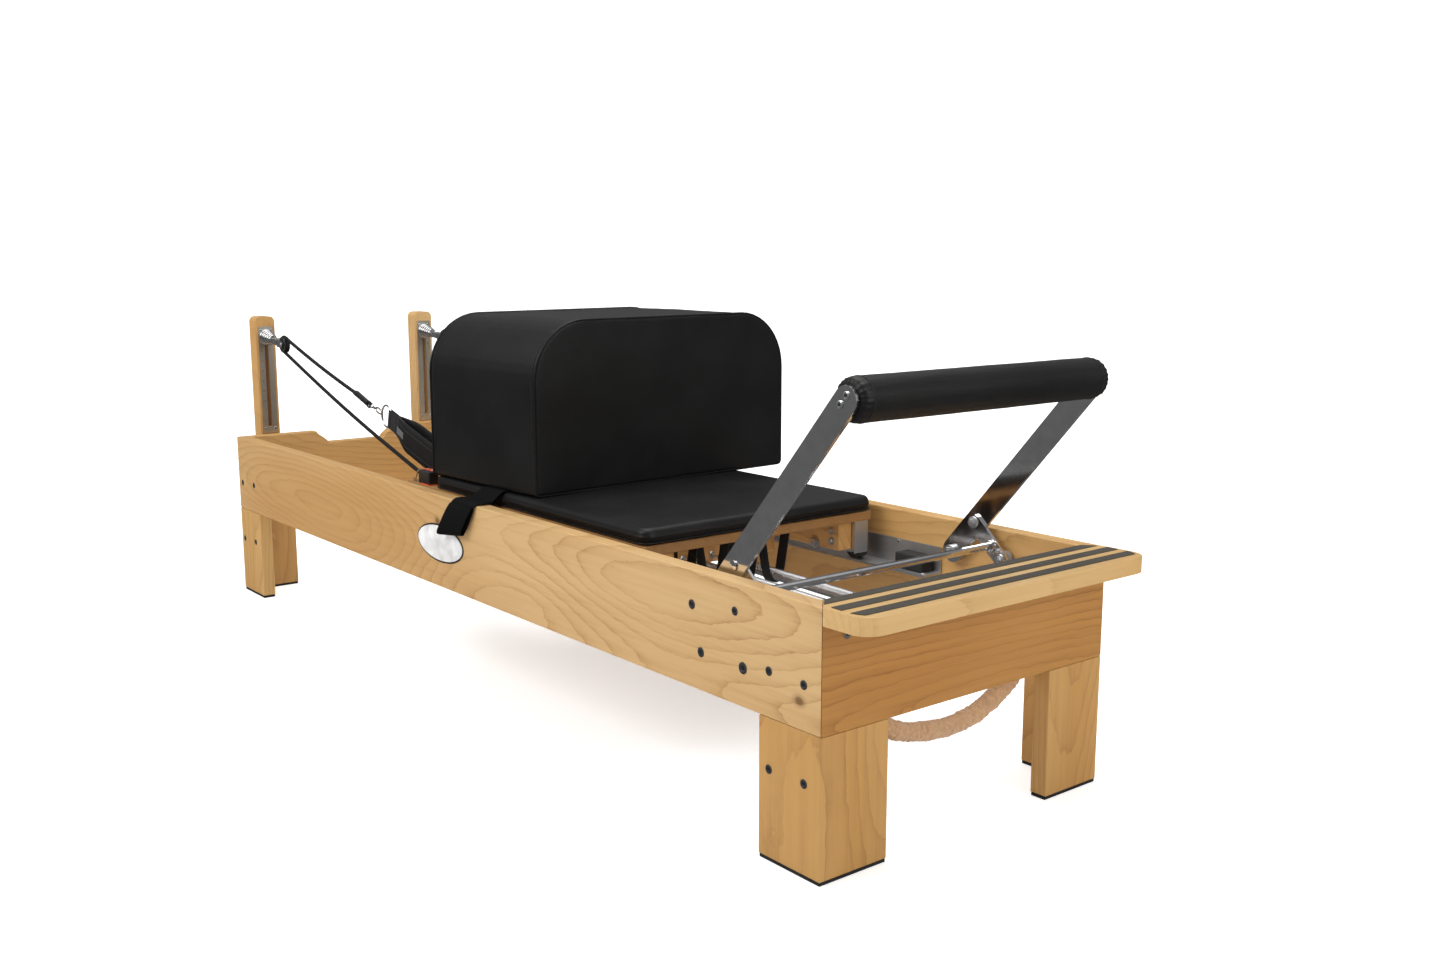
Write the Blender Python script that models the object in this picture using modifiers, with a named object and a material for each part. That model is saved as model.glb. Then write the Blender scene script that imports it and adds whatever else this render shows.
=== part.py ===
# Pilates reformer: a wooden frame with a rolling carriage, a folding foot bar,
# pulley risers with ropes, and a sitting box on the carriage.
# Units are metres, +Z is up, +X points to the foot end, -Y is the left side.
import bpy
import bmesh
import math
from mathutils import Vector, Matrix

# ----------------------------------------------------------------------------
# driving dimensions
# ----------------------------------------------------------------------------
OX, OY = -0.0105, -0.0215    # frame centre seen from the middle of the overall box
GAP = 0.0003                 # clearance between touching pieces

FRAME_L = 2.334              # length over the side rails
FRAME_W = 0.660              # width over the side rails
RAIL_T = 0.030               # rail and end board thickness
RAIL_TOP = 0.424             # top of the rails
RAIL_BOT = 0.229             # underside of the rails
LEG_W = 0.139                # width of each leg board
LEG_T = 0.032                # thickness of the leg boards
FOOT_T = 0.006               # rubber under the legs
PLATE_T = 0.028              # standing platform thickness
PLATE_X1 = 1.256             # front edge of the standing platform
NOTCH_Y = 0.113              # half width of the head rest notch
NOTCH_D = 0.033              # depth of that notch

TRACK_X0, TRACK_X1 = -0.960, 0.822
TRACK_Z = 0.314              # underside of the running flange
FLANGE_T = 0.005
FLANGE_W = 0.048
TRACK_H = 0.053

BOARD_X0, BOARD_X1 = -0.250, 0.655
BOARD_Z0, BOARD_T = 0.399, 0.018
BOARD_HW = 0.275
PAD_X0, PAD_X1 = -0.120, 0.659
PAD_HW = 0.2775
PAD_T = 0.031
RUNNER_Y0, RUNNER_Y1 = 0.200, 0.235
WHEEL_R = 0.022
WHEEL_X = (0.628, -0.190)

SPRING_Y = (-0.183, -0.110, -0.037, 0.036)
SPRING_R = 0.012
SPRING_X0, SPRING_X1 = 0.452, 1.063
SPRING_Z0, SPRING_Z1 = 0.3255, 0.3130
SPRING_BAR_X = 1.075

RISER_Y = 0.2355             # riser centre line
RISER_W, RISER_D = 0.053, 0.045
RISER_TOP = 0.745
PULLEY_Z = 0.690             # height of the pulley bolt on the riser
MOUNT_TILT = math.radians(6.0)
PULLEY_REACH = 0.134         # from the riser to the pulley axle
WHEEL_GROOVE = 0.015
ROPE_R = 0.0045

BAR_PIVOT = (0.862, 0.371)   # foot bar hinge, x and z
BAR_TOP = (1.163, 0.7155)    # centre of the foot bar roll
BRACE_PIN = (0.916, 0.4335)  # brace hinge on the arm
ARM_W, ARM_T = 0.045, 0.006
ARM_Y = 0.285
ROLL_R = 0.035
ROD = (0.958, 0.396)
BRACE_END = (0.981, 0.3755)

BOX_C = (0.070, 0.055)
BOX_D, BOX_W, BOX_H = 0.400, 0.660, 0.340
BOX_R = 0.120
BOX_YAW = math.radians(3.0)

# ----------------------------------------------------------------------------
# a clean file and two collections
# ----------------------------------------------------------------------------
for ob in list(bpy.data.objects):
    bpy.data.objects.remove(ob, do_unlink=True)

parts = bpy.data.collections.new("pilates_reformer")
cutters = bpy.data.collections.new("reformer_cutters")
bpy.context.scene.collection.children.link(parts)
bpy.context.scene.collection.children.link(cutters)


def material(name, rgb, rough, metal=0.0):
    m = bpy.data.materials.get(name)
    if m:
        return m
    m = bpy.data.materials.new(name)
    m.use_nodes = True
    b = m.node_tree.nodes["Principled BSDF"]
    b.inputs["Base Color"].default_value = (rgb[0], rgb[1], rgb[2], 1.0)
    b.inputs["Roughness"].default_value = rough
    b.inputs["Metallic"].default_value = metal
    m.diffuse_color = (rgb[0], rgb[1], rgb[2], 1.0)
    return m


MAPLE = ("maple", (0.62, 0.42, 0.20), 0.45, 0.0)
END_MAPLE = ("maple_end", (0.50, 0.29, 0.11), 0.45, 0.0)
PLY = ("birch_ply", (0.58, 0.36, 0.16), 0.5, 0.0)
VINYL = ("black_vinyl", (0.012, 0.012, 0.013), 0.42, 0.0)
RUBBER = ("black_rubber", (0.015, 0.015, 0.015), 0.8, 0.0)
CHROME = ("chrome", (0.75, 0.75, 0.76), 0.08, 1.0)
ZINC = ("zinc_steel", (0.50, 0.52, 0.54), 0.3, 1.0)
ALU = ("aluminium", (0.55, 0.56, 0.58), 0.35, 1.0)
WEB = ("black_webbing", (0.010, 0.010, 0.011), 0.85, 0.0)
ROPE = ("black_rope", (0.012, 0.012, 0.013), 0.7, 0.0)
FLEECE = ("fleece", (0.48, 0.30, 0.17), 0.95, 0.0)
NYLON = ("black_nylon", (0.02, 0.02, 0.022), 0.5, 0.0)


def finish(ob, name, mat, coll=None):
    ob.name = name
    ob.data.name = name
    for c in list(ob.users_collection):
        c.objects.unlink(ob)
    (coll or parts).objects.link(ob)
    if mat:
        ob.data.materials.clear()
        ob.data.materials.append(material(*mat))
    return ob


def bevel(ob, width, segments=2, angle=35.0):
    m = ob.modifiers.new("edge_rounding", "BEVEL")
    m.width = width
    m.segments = segments
    m.limit_method = "ANGLE"
    m.angle_limit = math.radians(angle)
    return m


def box(name, x0, x1, y0, y1, z0, z1, mat, r=0.0, seg=2, coll=None):
    """A rectangular block between two corners, in frame coordinates."""
    bpy.ops.mesh.primitive_cube_add(size=1.0)
    ob = bpy.context.active_object
    ob.data.transform(Matrix.Diagonal((x1 - x0, y1 - y0, z1 - z0, 1.0)))
    ob.location = (OX + (x0 + x1) / 2, OY + (y0 + y1) / 2, (z0 + z1) / 2)
    finish(ob, name, mat, coll)
    if r:
        bevel(ob, r, seg)
    return ob


def mesh_from_curve(cu_ob, name, mat, coll=None):
    """Turn a curve object into a welded mesh object in the same place."""
    bpy.context.view_layer.update()
    dg = bpy.context.evaluated_depsgraph_get()
    me = bpy.data.meshes.new_from_object(cu_ob.evaluated_get(dg))
    bm = bmesh.new()
    bm.from_mesh(me)
    bmesh.ops.remove_doubles(bm, verts=bm.verts, dist=1e-5)
    bmesh.ops.recalc_face_normals(bm, faces=bm.faces)
    bm.to_mesh(me)
    bm.free()
    mw = cu_ob.matrix_world.copy()
    bpy.data.objects.remove(cu_ob, do_unlink=True)
    ob = bpy.data.objects.new(name, me)
    ob.matrix_world = mw
    bpy.context.scene.collection.objects.link(ob)
    return finish(ob, name, mat, coll)


def outline_curve(pts, half):
    cu = bpy.data.curves.new("outline", "CURVE")
    cu.dimensions = "2D"
    cu.fill_mode = "BOTH"
    cu.extrude = half
    sp = cu.splines.new("POLY")
    sp.points.add(len(pts) - 1)
    for p, q in zip(sp.points, pts):
        p.co = (q[0], q[1], 0.0, 1.0)
    sp.use_cyclic_u = True
    ob = bpy.data.objects.new("outline", cu)
    bpy.context.scene.collection.objects.link(ob)
    return ob


def prism(name, pts, plane, lo, hi, mat, r=0.0, seg=2, coll=None):
    """A flat outline extruded along the axis that its plane leaves out.
    plane 'xy': points are (x, y), extruded in z; 'xz': (x, z), extruded in y;
    'yz': (y, z), extruded in x."""
    ob = outline_curve(pts, (hi - lo) / 2)
    mid = (lo + hi) / 2
    if plane == "xy":
        ob.matrix_world = Matrix.Translation((OX, OY, mid))
    elif plane == "xz":
        ob.matrix_world = (Matrix.Translation((OX, OY + mid, 0.0))
                           @ Matrix.Rotation(math.radians(90), 4, "X"))
    else:
        ob.matrix_world = (Matrix.Translation((OX + mid, OY, 0.0))
                           @ Matrix(((0, 0, 1, 0), (1, 0, 0, 0),
                                     (0, 1, 0, 0), (0, 0, 0, 1))))
    ob = mesh_from_curve(ob, name, mat, coll)
    if r:
        bevel(ob, r, seg)
    return ob


def turned(name, prof, axis, at, mat, steps=24, coll=None, tilt=0.0):
    """A turned solid. prof is (radius, height) from top to bottom; its
    height axis is laid along 'x', 'y' or 'z' through the point at."""
    me = bpy.data.meshes.new(name)
    bm = bmesh.new()
    vs = [bm.verts.new((r, 0.0, h)) for r, h in prof]
    for a, b in zip(vs, vs[1:]):
        bm.edges.new((a, b))
    bm.to_mesh(me)
    bm.free()
    ob = bpy.data.objects.new(name, me)
    bpy.context.scene.collection.objects.link(ob)
    s = ob.modifiers.new("turn", "SCREW")
    s.axis = "Z"
    s.angle = math.radians(360)
    s.steps = steps
    s.render_steps = steps
    s.screw_offset = 0.0
    s.use_merge_vertices = True
    s.merge_threshold = 1e-5
    rot = {"z": Matrix.Identity(4),
           "x": Matrix.Rotation(math.radians(90), 4, "Y"),
           "y": Matrix.Rotation(math.radians(-90), 4, "X")}[axis]
    if tilt:
        rot = Matrix.Rotation(tilt, 4, "Y") @ rot
    ob.matrix_world = Matrix.Translation((OX + at[0], OY + at[1], at[2])) @ rot
    return finish(ob, name, mat, coll)


def tube(name, pts, radius, mat, res=2, coll=None):
    """A round bar or rope along a list of points in frame coordinates."""
    cu = bpy.data.curves.new(name, "CURVE")
    cu.dimensions = "3D"
    cu.bevel_depth = radius
    cu.bevel_resolution = res
    cu.use_fill_caps = True
    sp = cu.splines.new("POLY")
    sp.points.add(len(pts) - 1)
    for p, q in zip(sp.points, pts):
        p.co = (q[0], q[1], q[2], 1.0)
    ob = bpy.data.objects.new(name, cu)
    bpy.context.scene.collection.objects.link(ob)
    ob.location = (OX, OY, 0.0)
    return mesh_from_curve(ob, name, mat, coll)


def boolean(ob, cutter, op="DIFFERENCE"):
    m = ob.modifiers.new("cut_" + cutter.name, "BOOLEAN")
    m.operation = op
    m.object = cutter
    m.solver = "EXACT"
    cutter.hide_render = True
    cutter.display_type = "WIRE"
    return m


def capsule(a, b, r, n=8):
    """Outline of a flat bar with round ends from a to b."""
    ax, az = a
    bx, bz = b
    ang = math.atan2(bz - az, bx - ax)
    pts = []
    for i in range(n + 1):
        t = ang + math.pi / 2 + math.pi * i / n
        pts.append((ax + r * math.cos(t), az + r * math.sin(t)))
    for i in range(n + 1):
        t = ang - math.pi / 2 + math.pi * i / n
        pts.append((bx + r * math.cos(t), bz + r * math.sin(t)))
    return pts


def mirrored(pts):
    """The same outline on the other side of the middle plane (x, y points)."""
    return [(x, -y) for x, y in reversed(pts)]


def ribbon(path, half):
    """Closed outline of a band of even thickness along an open path."""
    n = len(path)
    left, right = [], []
    for i, p in enumerate(path):
        a = Vector(path[max(0, i - 1)])
        b = Vector(path[min(n - 1, i + 1)])
        d = (b - a).normalized()
        nrm = Vector((-d.y, d.x))
        q = Vector(p)
        left.append(tuple(q + nrm * half))
        right.append(tuple(q - nrm * half))
    return left + right[::-1]


def smooth_path(keys, n):
    """Points of a Catmull-Rom curve through the key points."""
    out = []
    k = [Vector(p) for p in keys]
    k = [k[0] * 2 - k[1]] + k + [k[-1] * 2 - k[-2]]
    for i in range(1, len(k) - 2):
        for j in range(n):
            t = j / n
            a, b, c, d = k[i - 1], k[i], k[i + 1], k[i + 2]
            out.append(0.5 * ((2 * b) + (c - a) * t + (2 * a - 5 * b + 4 * c - d) * t * t
                              + (3 * b - a - 3 * c + d) * t * t * t))
    out.append(k[-2])
    return [tuple(p) for p in out]


L2, W2 = FRAME_L / 2, FRAME_W / 2
IN = W2 - RAIL_T             # inner face of the rails

# ----------------------------------------------------------------------------
# frame: two rails and two end boards with mitred corners
# ----------------------------------------------------------------------------
g = GAP / 2
rail = [(-L2 + g * 2.5, -W2), (L2 - g * 2.5, -W2),
        (L2 - RAIL_T - g * 2.5, -IN), (-L2 + RAIL_T + g * 2.5, -IN)]
prism("side_rail_left", rail, "xy", RAIL_BOT, RAIL_TOP, MAPLE, 0.0022)
prism("side_rail_right", mirrored(rail), "xy", RAIL_BOT, RAIL_TOP, MAPLE, 0.0022)

end = [(L2, -W2 + g), (L2, W2 - g), (L2 - RAIL_T, IN - g), (L2 - RAIL_T, -IN + g)]
prism("foot_end_board", end, "xy", RAIL_BOT, RAIL_TOP - PLATE_T - GAP, END_MAPLE, 0.0018)

head = prism("head_end_board", [(-x, -y) for x, y in end], "xy",
             RAIL_BOT, RAIL_TOP, END_MAPLE, 0.0018)
notch = []
for s in (-1, 1):
    arc = []
    for i in range(7):
        t = i / 6
        arc.append((s * (NOTCH_Y + 0.004 - 0.030 * (t * t * (3 - 2 * t))
                         - 0.004 * t), RAIL_TOP + 0.001 - (NOTCH_D + 0.001) * t))
    notch.append(arc)
outline = [(-NOTCH_Y - 0.006, RAIL_TOP + 0.02)] + notch[0] + notch[1][::-1] \
    + [(NOTCH_Y + 0.006, RAIL_TOP + 0.02)]
cut = prism("head_notch_cutter", outline, "yz", -L2 - 0.02, -L2 + RAIL_T + 0.02, None,
            coll=cutters)
boolean(head, cut)
# the notch is cut before the edges are rounded
head.modifiers.move(1, 0)

# ----------------------------------------------------------------------------
# legs: two mitred boards glued to an L, on a rubber foot
# ----------------------------------------------------------------------------
for ex, en in ((1, "foot"), (-1, "head")):
    for sy, sn in ((-1, "left"), (1, "right")):
        def ell(inset, t):
            q = [(L2 - inset, -W2 + inset), (L2 - inset, -W2 + LEG_W - inset),
                 (L2 - t + inset, -W2 + LEG_W - inset), (L2 - t + inset, -W2 + t - inset),
                 (L2 - LEG_W + inset, -W2 + t - inset), (L2 - LEG_W + inset, -W2 + inset)]
            q = [(x * ex, y * -sy) for x, y in q]
            return q if ex * sy < 0 else q[::-1]
        prism("leg_%s_%s" % (en, sn), ell(0.0, LEG_T), "xy",
              FOOT_T + GAP, RAIL_BOT - GAP, MAPLE, 0.0018)
        prism("foot_pad_%s_%s" % (en, sn), ell(0.0015, LEG_T), "xy",
              0.0, FOOT_T, RUBBER, 0.0)

# ----------------------------------------------------------------------------
# standing platform with rounded outer corners
# ----------------------------------------------------------------------------
def rounded(cx, cy, r, a0, a1, n=6):
    return [(cx + r * math.cos(math.radians(a0 + (a1 - a0) * i / n)),
             cy + r * math.sin(math.radians(a0 + (a1 - a0) * i / n)))
            for i in range(n + 1)]

CR = 0.034
plat = [(L2 - RAIL_T - 0.004, -IN + GAP), (L2 - RAIL_T, -IN + GAP), (L2 + GAP, -W2)]
plat += rounded(PLATE_X1 - CR, -W2 + CR, CR, -90, 0)
plat += rounded(PLATE_X1 - CR, W2 - CR, CR, 0, 90)
plat += [(L2 + GAP, W2), (L2 - RAIL_T, IN - GAP), (L2 - RAIL_T - 0.004, IN - GAP)]
prism("standing_platform", plat, "xy", RAIL_TOP - PLATE_T, RAIL_TOP, MAPLE, 0.0045, 3, None)

# ----------------------------------------------------------------------------
# running tracks on the inner faces of the rails, and their stops
# ----------------------------------------------------------------------------
def track_outline(s):
    y0 = IN - GAP
    q = [(y0, TRACK_Z), (y0, TRACK_Z + TRACK_H), (y0 - 0.0035, TRACK_Z + TRACK_H),
         (y0 - 0.0035, TRACK_Z + FLANGE_T),
         (y0 - FLANGE_W, TRACK_Z + FLANGE_T), (y0 - FLANGE_W, TRACK_Z)]
    q = [(y * s, z) for y, z in q]
    return q if s > 0 else q[::-1]

for s, sn in ((-1, "left"), (1, "right")):
    prism("track_%s" % sn, track_outline(s), "yz", TRACK_X0, TRACK_X1, ALU)
    ys = sorted((s * (IN - GAP - 0.0035 - GAP), s * 0.262))
    box("stop_foot_%s" % sn, 0.7340, 0.8050, ys[0], ys[1],
        TRACK_Z + FLANGE_T + GAP, TRACK_Z + FLANGE_T + 0.031, RUBBER, 0.003, 2)

# ----------------------------------------------------------------------------
# slotted risers with sprung pulleys and clamp knobs
# ----------------------------------------------------------------------------
PLATE_FACE = -L2
for s, sn in ((-1, "left"), (1, "right")):
    yc = s * RISER_Y
    y0, y1 = yc - RISER_W / 2, yc + RISER_W / 2
    n = 6
    top = [(y1, 0.240)]
    top += [(y1 - 0.014 + 0.014 * math.cos(math.radians(90 * i / n)),
             RISER_TOP - 0.014 + 0.014 * math.sin(math.radians(90 * i / n)))
            for i in range(n + 1)]
    top += [(y0 + 0.014 - 0.014 * math.sin(math.radians(90 * i / n)),
             RISER_TOP - 0.014 + 0.014 * math.cos(math.radians(90 * i / n)))
            for i in range(n + 1)]
    top += [(y0, 0.240)]
    riser = prism("riser_%s" % sn, top, "yz", -L2 - GAP - RISER_D, -L2 - GAP, MAPLE, 0.0025)
    slot = box("riser_slot_cutter_%s" % sn, -L2 - 0.06, -L2 + 0.01, yc - 0.0055, yc + 0.0055,
               0.445, 0.7045, None, coll=cutters)
    boolean(riser, slot)
    riser.modifiers.move(1, 0)

    # bolt, conical spring and fork, tipped down by the pull of the rope
    base = (PLATE_FACE, yc, PULLEY_Z)
    prof = [(0.0, 0.0665), (0.0065, 0.0665), (0.0065, 0.0520), (0.0110, 0.0480),
            (0.0215, 0.0052), (0.0215, 0.0024), (0.0040, 0.0024), (0.0040, -0.0445),
            (0.0, -0.0445)]
    mount = turned("pulley_mount_%s" % sn, prof, "x", base, CHROME, 20, tilt=MOUNT_TILT)
    rotm = Matrix.Rotation(MOUNT_TILT, 4, "Y")
    org = Vector((OX + base[0], OY + base[1], base[2]))

    def place(ob):
        ob.matrix_world = Matrix.Translation(org) @ rotm @ Matrix.Translation(-org) @ \
            Matrix.Translation(ob.location)

    fx = base[0] + PULLEY_REACH
    back = box("fork_back_%s" % sn, fx - 0.0680, fx - 0.0275, yc - 0.0105, yc + 0.0105,
               base[2] - 0.0075, base[2] + 0.0075, None, coll=cutters)
    place(back)
    boolean(mount, back, "UNION")
    for k, cs in (("a", -1), ("b", 1)):
        ca, cb = sorted((yc + cs * 0.0078, yc + cs * 0.0105))
        cheek = box("fork_cheek_%s_%s" % (k, sn), fx - 0.0300, fx + 0.0080, ca, cb,
                    base[2] - 0.0075, base[2] + 0.0075, None, coll=cutters)
        place(cheek)
        boolean(mount, cheek, "UNION")
    wc = org + rotm.to_3x3() @ Vector((PULLEY_REACH, 0.0, 0.0))
    wc = (wc.x - OX, wc.y - OY, wc.z)
    pin = turned("fork_pin_%s" % sn, [(0.0, 0.0100), (0.0030, 0.0100), (0.0030, -0.0100),
                                      (0.0, -0.0100)], "y", wc, None, 12, coll=cutters)
    boolean(mount, pin, "UNION")
    rim, half = 0.0215, 0.0070
    turned("pulley_wheel_%s" % sn,
           [(0.0034, half), (rim, half), (rim, half - 0.0014), (WHEEL_GROOVE + 0.0012, 0.0040),
            (WHEEL_GROOVE, 0.0015), (WHEEL_GROOVE, -0.0015), (WHEEL_GROOVE + 0.0012, -0.0040),
            (rim, -half + 0.0014), (rim, -half), (0.0034, -half), (0.0034, half)],
           "y", wc, NYLON, 28)

    # clamp knob behind the riser
    kz = PULLEY_Z + 0.0500 * math.sin(MOUNT_TILT)
    turned("riser_knob_%s" % sn,
           [(0.0, 0.0), (0.0090, 0.0), (0.0090, -0.0060), (0.0165, -0.0080),
            (0.0175, -0.0120), (0.0175, -0.0200), (0.0150, -0.0245), (0.0, -0.0255)],
           "x", (-L2 - GAP - RISER_D - GAP, yc, kz), RUBBER, 20)

# ----------------------------------------------------------------------------
# spring bar under the platform
# ----------------------------------------------------------------------------
tube("spring_bar", [(SPRING_BAR_X, -IN + GAP, SPRING_Z1), (SPRING_BAR_X, IN - GAP, SPRING_Z1)],
     0.0110, ZINC, 4)

# ----------------------------------------------------------------------------
# fleece foot strap hanging under the foot end board
# ----------------------------------------------------------------------------
keys = [(1.1230, -0.188, 0.2850), (1.1230, -0.187, 0.2500), (1.1160, -0.180, 0.2200),
        (1.112, -0.160, 0.2010), (1.112, -0.128, 0.1830),
        (1.112, -0.085, 0.1690), (1.112, -0.030, 0.1600), (1.112, 0.025, 0.1600),
        (1.112, 0.078, 0.1700), (1.112, 0.118, 0.1860), (1.112, 0.142, 0.2010),
        (1.1160, 0.158, 0.2200), (1.1230, 0.164, 0.2500), (1.1230, 0.165, 0.2850)]
tube("foot_strap", smooth_path(keys, 3), 0.0130, FLEECE, 2)

# ----------------------------------------------------------------------------
# carriage
# ----------------------------------------------------------------------------
btop = BOARD_Z0 + BOARD_T
box("carriage_board", BOARD_X0, BOARD_X1, -BOARD_HW, BOARD_HW, BOARD_Z0, btop, PLY, 0.0015, 1)
box("carriage_pad", PAD_X0, PAD_X1, -PAD_HW, PAD_HW, btop + GAP, btop + PAD_T, VINYL, 0.008, 3)
for s, sn in ((-1, "left"), (1, "right")):
    ys = sorted((s * RUNNER_Y0, s * RUNNER_Y1))
    box("runner_%s" % sn, -0.235, 0.642, ys[0], ys[1], 0.3430, BOARD_Z0 - GAP, MAPLE, 0.0015, 1)
    for wx, wn in zip(WHEEL_X, ("foot", "head")):
        d = s
        # hub against the runner, tyre over the running flange
        h0 = RUNNER_Y1 + 0.0045
        t0, t1 = 0.2530, 0.2750
        prof = [(0.0, t1 + 0.002), (0.0080, t1 + 0.002), (0.0080, t1), (WHEEL_R - 0.002, t1),
                (WHEEL_R, t1 - 0.002), (WHEEL_R, t0 + 0.002), (WHEEL_R - 0.002, t0),
                (0.0070, t0), (0.0070, h0), (0.0, h0)]
        if s < 0:
            prof = [(r, -h) for r, h in reversed(prof)]
        turned("wheel_%s_%s" % (wn, sn), prof, "y",
               (wx, 0.0, TRACK_Z + FLANGE_T + GAP + WHEEL_R), NYLON, 24)
box("spring_anchor", 0.418, 0.4515, -RUNNER_Y0 + GAP, RUNNER_Y0 - GAP, 0.3110,
    BOARD_Z0 - GAP, MAPLE, 0.0015, 1)

for i, sy in enumerate(SPRING_Y):
    tube("carriage_spring_%d" % (i + 1),
         [(SPRING_X0, sy, SPRING_Z0), ((SPRING_X0 + SPRING_X1) / 2, sy,
                                      (SPRING_Z0 + SPRING_Z1) / 2),
          (SPRING_X1, sy, SPRING_Z1)], SPRING_R, CHROME, 3)

# one webbing band, tacked under the board between the springs, slung under each
zt = BOARD_Z0 - GAP - 0.0011
zb = 0.3215 - SPRING_R - 0.0024
path = []
for i, sy in enumerate(SPRING_Y):
    if i == 0:
        path += [(sy - 0.0154, zt)]
    path += [(sy - (0.0180 if i else 0.0152), 0.3320)]
    for a in (-150, -120, -90, -60, -30):
        path.append((sy + 0.0147 * math.cos(math.radians(a)),
                     0.3215 + 0.0147 * math.sin(math.radians(a))))
    path += [(sy + 0.0180, 0.3320)]
    path += [(sy + 0.0300, zt), (sy + 0.0430, zt)]
prism("spring_sling", ribbon(path, 0.0009), "yz", 0.6240, 0.6480, WEB)

# shoulder rests and head rest
for s, sn in ((-1, "left"), (1, "right")):
    ys = sorted((s * 0.105, s * 0.200))
    box("shoulder_rest_%s" % sn, -0.222, -0.164, ys[0], ys[1], btop + GAP, 0.536, VINYL,
        0.018, 3)
box("headrest", -0.472, -0.2600, -0.100, 0.100, 0.4030, btop + 0.030, VINYL, 0.008, 3)

# rope clamps on the rear corners of the board
CLAMP_Y = 0.2605
for s, sn in ((-1, "left"), (1, "right")):
    ys = sorted((s * (CLAMP_Y - 0.0125), s * (CLAMP_Y + 0.0125)))
    box("rope_clamp_%s" % sn, -0.2020, -0.1520, ys[0], ys[1], btop + GAP, btop + 0.030,
        NYLON, 0.003, 2)

# ----------------------------------------------------------------------------
# ropes: carriage clamp, round the pulley and back to the hand strap
# ----------------------------------------------------------------------------
RING = (-0.448, 0.2345, 0.5435)
axle = (PLATE_FACE + PULLEY_REACH * math.cos(MOUNT_TILT),
        PULLEY_Z - PULLEY_REACH * math.sin(MOUNT_TILT))
lay = WHEEL_GROOVE + ROPE_R + 0.0004
upper_end = (-0.4640, 0.2345, 0.5495)
lower_end = (-0.2030, CLAMP_Y, 0.4335)


def from_lists(name, vs, fs, mat, coll=None):
    """A mesh object from plain points and faces, its normals made consistent."""
    me = bpy.data.meshes.new(name)
    me.from_pydata([tuple(v) for v in vs], [], fs)
    bm = bmesh.new()
    bm.from_mesh(me)
    bmesh.ops.recalc_face_normals(bm, faces=bm.faces)
    bm.to_mesh(me)
    bm.free()
    ob = bpy.data.objects.new(name, me)
    bpy.context.scene.collection.objects.link(ob)
    return finish(ob, name, mat, coll)


STRAP_AT, STRAP_DIP = (-0.4160, 0.5368), math.radians(14.7)


def strap_point(along, y, up):
    """A point of the hand strap: along its length, across the machine, across its width."""
    c, d = math.cos(STRAP_DIP), math.sin(STRAP_DIP)
    return (STRAP_AT[0] + along * c + up * d + OX, y + OY, STRAP_AT[1] - along * d + up * c)


def strap_edge(along, top):
    t = min(1.0, max(0.0, (along - 0.030) / 0.085))
    t = t * t * (3 - 2 * t)
    return 0.0224 + 0.0016 * t if top else -0.0224 - 0.0200 * t


def tangent(px, pz, upper):
    """Angle on the wheel where a strand from (px, pz) touches it."""
    dx, dz = px - axle[0], pz - axle[1]
    d = math.hypot(dx, dz)
    base_a = math.atan2(dz, dx)
    off = math.acos(lay / d)
    return base_a + off if upper else base_a - off


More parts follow.
